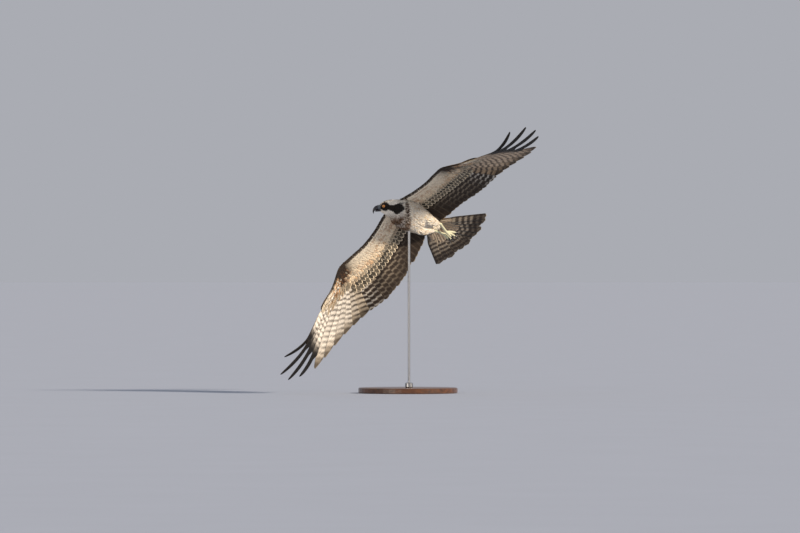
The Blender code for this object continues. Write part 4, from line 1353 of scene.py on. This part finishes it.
foot = {
    "shank": 0.0058, "toes": [(-0.044, 0.014, 0.004), (-0.046, 0.003, -0.006), (-0.041, -0.010, 0.002),
                              (-0.022, -0.002, -0.016)],
    "toe": 0.0046, "pads": 3, "voxel": 0.0008, "smoothing": 2,
    "claw": 0.024, "bend": 1.25, "clawRoot": 0.0034, "clawTip": 0.00025, "clawSunk": 0.0008,
}


def buildLeg(side, sideName):
    hip, heel, sole = (np.array(p) for p in legs[sideName])
    way = (heel - hip) / np.linalg.norm(heel - hip)
    shares = np.linspace(0, 1, 14)
    knee = heel + way * 0.006
    path = [heel - way * 0.004, heel + way * 0.004] + [knee + (sole - knee) * s for s in shares]
    knobs = 1.0 + 0.22 * np.exp(-(shares / 0.12) ** 2) + 0.22 * np.exp(-((shares - 1) / 0.1) ** 2)
    radii = [foot["shank"]] * 2 + list(foot["shank"] * (0.86 * knobs))
    parts = [sleeve("shank", [inRoom(r) for r in tubeRings(path, radii)])]
    for number, toe in enumerate(foot["toes"], 1):
        reach = np.array((toe[0], side * toe[1], toe[2]))
        share = np.linspace(-0.06, 1.0, 22)[:, None]
        line = sole + reach * share + np.array((0, 0, 0.012)) * share * (1 - share)
        taper = np.interp(share[:, 0], [-0.06, 0.0, 0.5, 1.0], [0.7, 1.12, 0.98, 0.66])
        joints = 1 + 0.10 * np.cos(2 * math.pi * share[:, 0] * foot["pads"]) ** 2
        parts.append(sleeve("toe", [inRoom(r) for r in tubeRings(line, foot["toe"] * taper * joints)]))
        end = sole + reach
        ahead = line[-1] - line[-3]
        ahead = ahead / np.linalg.norm(ahead)
        down = np.array((0.0, 0.0, -1.0)) + ahead * ahead[2]
        down = down / np.linalg.norm(down)
        radius = foot["claw"] / foot["bend"]
        shares = np.linspace(0, 1, 16)[:, None]
        turns = shares * foot["bend"]
        root = end - ahead * foot["clawSunk"]
        arc = root + ahead * radius * np.sin(turns) + down * radius * (1 - np.cos(turns))
        thick = foot["clawTip"] + (foot["clawRoot"] - foot["clawTip"]) * (1 - shares[:, 0]) ** 0.75
        claw = sleeve(f"claw_{sideName}_{number}_horn", [inRoom(r) for r in tubeRings(arc, thick)], hornBlack)
        finishPiece(claw, "horn", f"claw_{sideName}_{number}")
    made = joinAll("leg_scales_" + sideName, parts)
    addMelt(made, foot["voxel"], foot["smoothing"])
    applyAll(made)
    made.data.materials.clear()
    made.data.materials.append(scaleSkin)
    finishPiece(made, "scales", "leg_" + sideName)


for side, sideName in ((1, "left"), (-1, "right")):
    buildLeg(side, sideName)
print("legs done")


# Display stand: the frame's own pieces with better materials

def woodMaterial():
    # Dark oiled walnut: long growth lines with fine pores
    material, shader = newMaterial("dark oiled walnut", Roughness=0.34, Coat_Weight=0.25, Coat_Roughness=0.2)
    where = addNode(material, "ShaderNodeTexCoord")["Object"]
    long = addNode(material, "ShaderNodeMapping", Vector=where, Scale=(1.2, 11.0, 11.0))[0]
    warp = addNode(material, "ShaderNodeTexNoise", Vector=long, Scale=5.0, Detail=6.0, Distortion=0.8)["Fac"]
    fine = addNode(material, "ShaderNodeTexNoise", Vector=long, Scale=70.0, Detail=2.0)["Fac"]
    lines = addNode(material, "ShaderNodeMath", {"operation": "MULTIPLY_ADD"}, _0=fine, _1=0.35, _2=warp)[0]
    tone = addNode(material, "ShaderNodeMapRange", Value=lines, From_Min=0.45, From_Max=0.95)[0]
    base = addNode(material, "ShaderNodeMix", {"data_type": "RGBA"}, _0=tone, _6=(*colour("#2e1a10"), 1),
                   _7=(*colour("#6a4327"), 1))[2]
    feed(material, shader, "Base Color", base)
    bump = addNode(material, "ShaderNodeBump", Height=fine, Strength=0.2, Distance=0.0002)["Normal"]
    feed(material, shader, "Normal", bump)
    return material


wood = woodMaterial()
for name, material in (("stand_base", wood), ("stand_collar", steel), ("stand_rod", steel)):
    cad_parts[name].material_slots[0].material = material
print("stand done")


# Stage, lights and camera

stage = {"floor": "#9ba4b5", "floorRadius": 400.0, "sky": "#aaacb3", "skyStrength": 1.0}


def buildStage():
    deselect()
    bpy.ops.mesh.primitive_circle_add(vertices=96, radius=stage["floorRadius"], fill_type="NGON")
    floor = bpy.context.object
    floor.name = "floor"
    material, shader = newMaterial("matt painted floor", Roughness=0.9)
    where = addNode(material, "ShaderNodeTexCoord")["Object"]
    speckle = addNode(material, "ShaderNodeTexNoise", Vector=where, Scale=3.0)["Fac"]
    tone = addNode(material, "ShaderNodeMapRange", Value=speckle, To_Min=0.97, To_Max=1.03)[0]
    paint = tuple(colour(stage["floor"]))
    base = addNode(material, "ShaderNodeVectorMath", {"operation": "SCALE"}, _0=paint, Scale=tone)[0]
    feed(material, shader, "Base Color", base)
    floor.data.materials.append(material)
    world = bpy.data.worlds.new("studio")
    bpy.context.scene.world = world
    world.use_nodes = True
    back = world.node_tree.nodes["Background"]
    back.inputs["Color"].default_value = (*colour(stage["sky"]), 1.0)
    back.inputs["Strength"].default_value = stage["skyStrength"]


lamps = [
    # name, where it shines from, apparent size in degrees, strength, colour
    ("key", (0.80, -0.42, 0.47), 8.0, 4.8, "#ffedd6"),
    ("fill", (-0.60, -0.75, 0.15), 30.0, 0.9, "#fff0dc"),
]


def buildLights():
    for name, way, wide, strength, tone in lamps:
        deselect()
        bpy.ops.object.light_add(type="SUN", location=Vector(way) * 3)
        lamp = bpy.context.object
        lamp.name = name
        lamp.data.angle, lamp.data.energy, lamp.data.color = math.radians(wide), strength, colour(tone)
        lamp.rotation_euler = Vector(way).to_track_quat("Z", "Y").to_euler()


view = {"frameWidth": 3.226, "midX": -0.0323, "midZ": 0.5106, "distance": 25.0, "sensor": 36.0}


def buildCamera():
    camera = bpy.data.cameras.new("camera")
    camera.sensor_width = view["sensor"]
    camera.lens = view["sensor"] * view["distance"] / view["frameWidth"]
    camera.clip_end = 200.0
    holder = addPiece("camera", camera)
    holder.location = (view["midX"], -view["distance"], view["midZ"])
    holder.rotation_euler = (math.radians(90), 0, 0)
    bpy.context.scene.camera = holder


buildStage()
buildLights()
buildCamera()
bpy.context.scene.view_settings.view_transform = "Standard"
print("stage done")
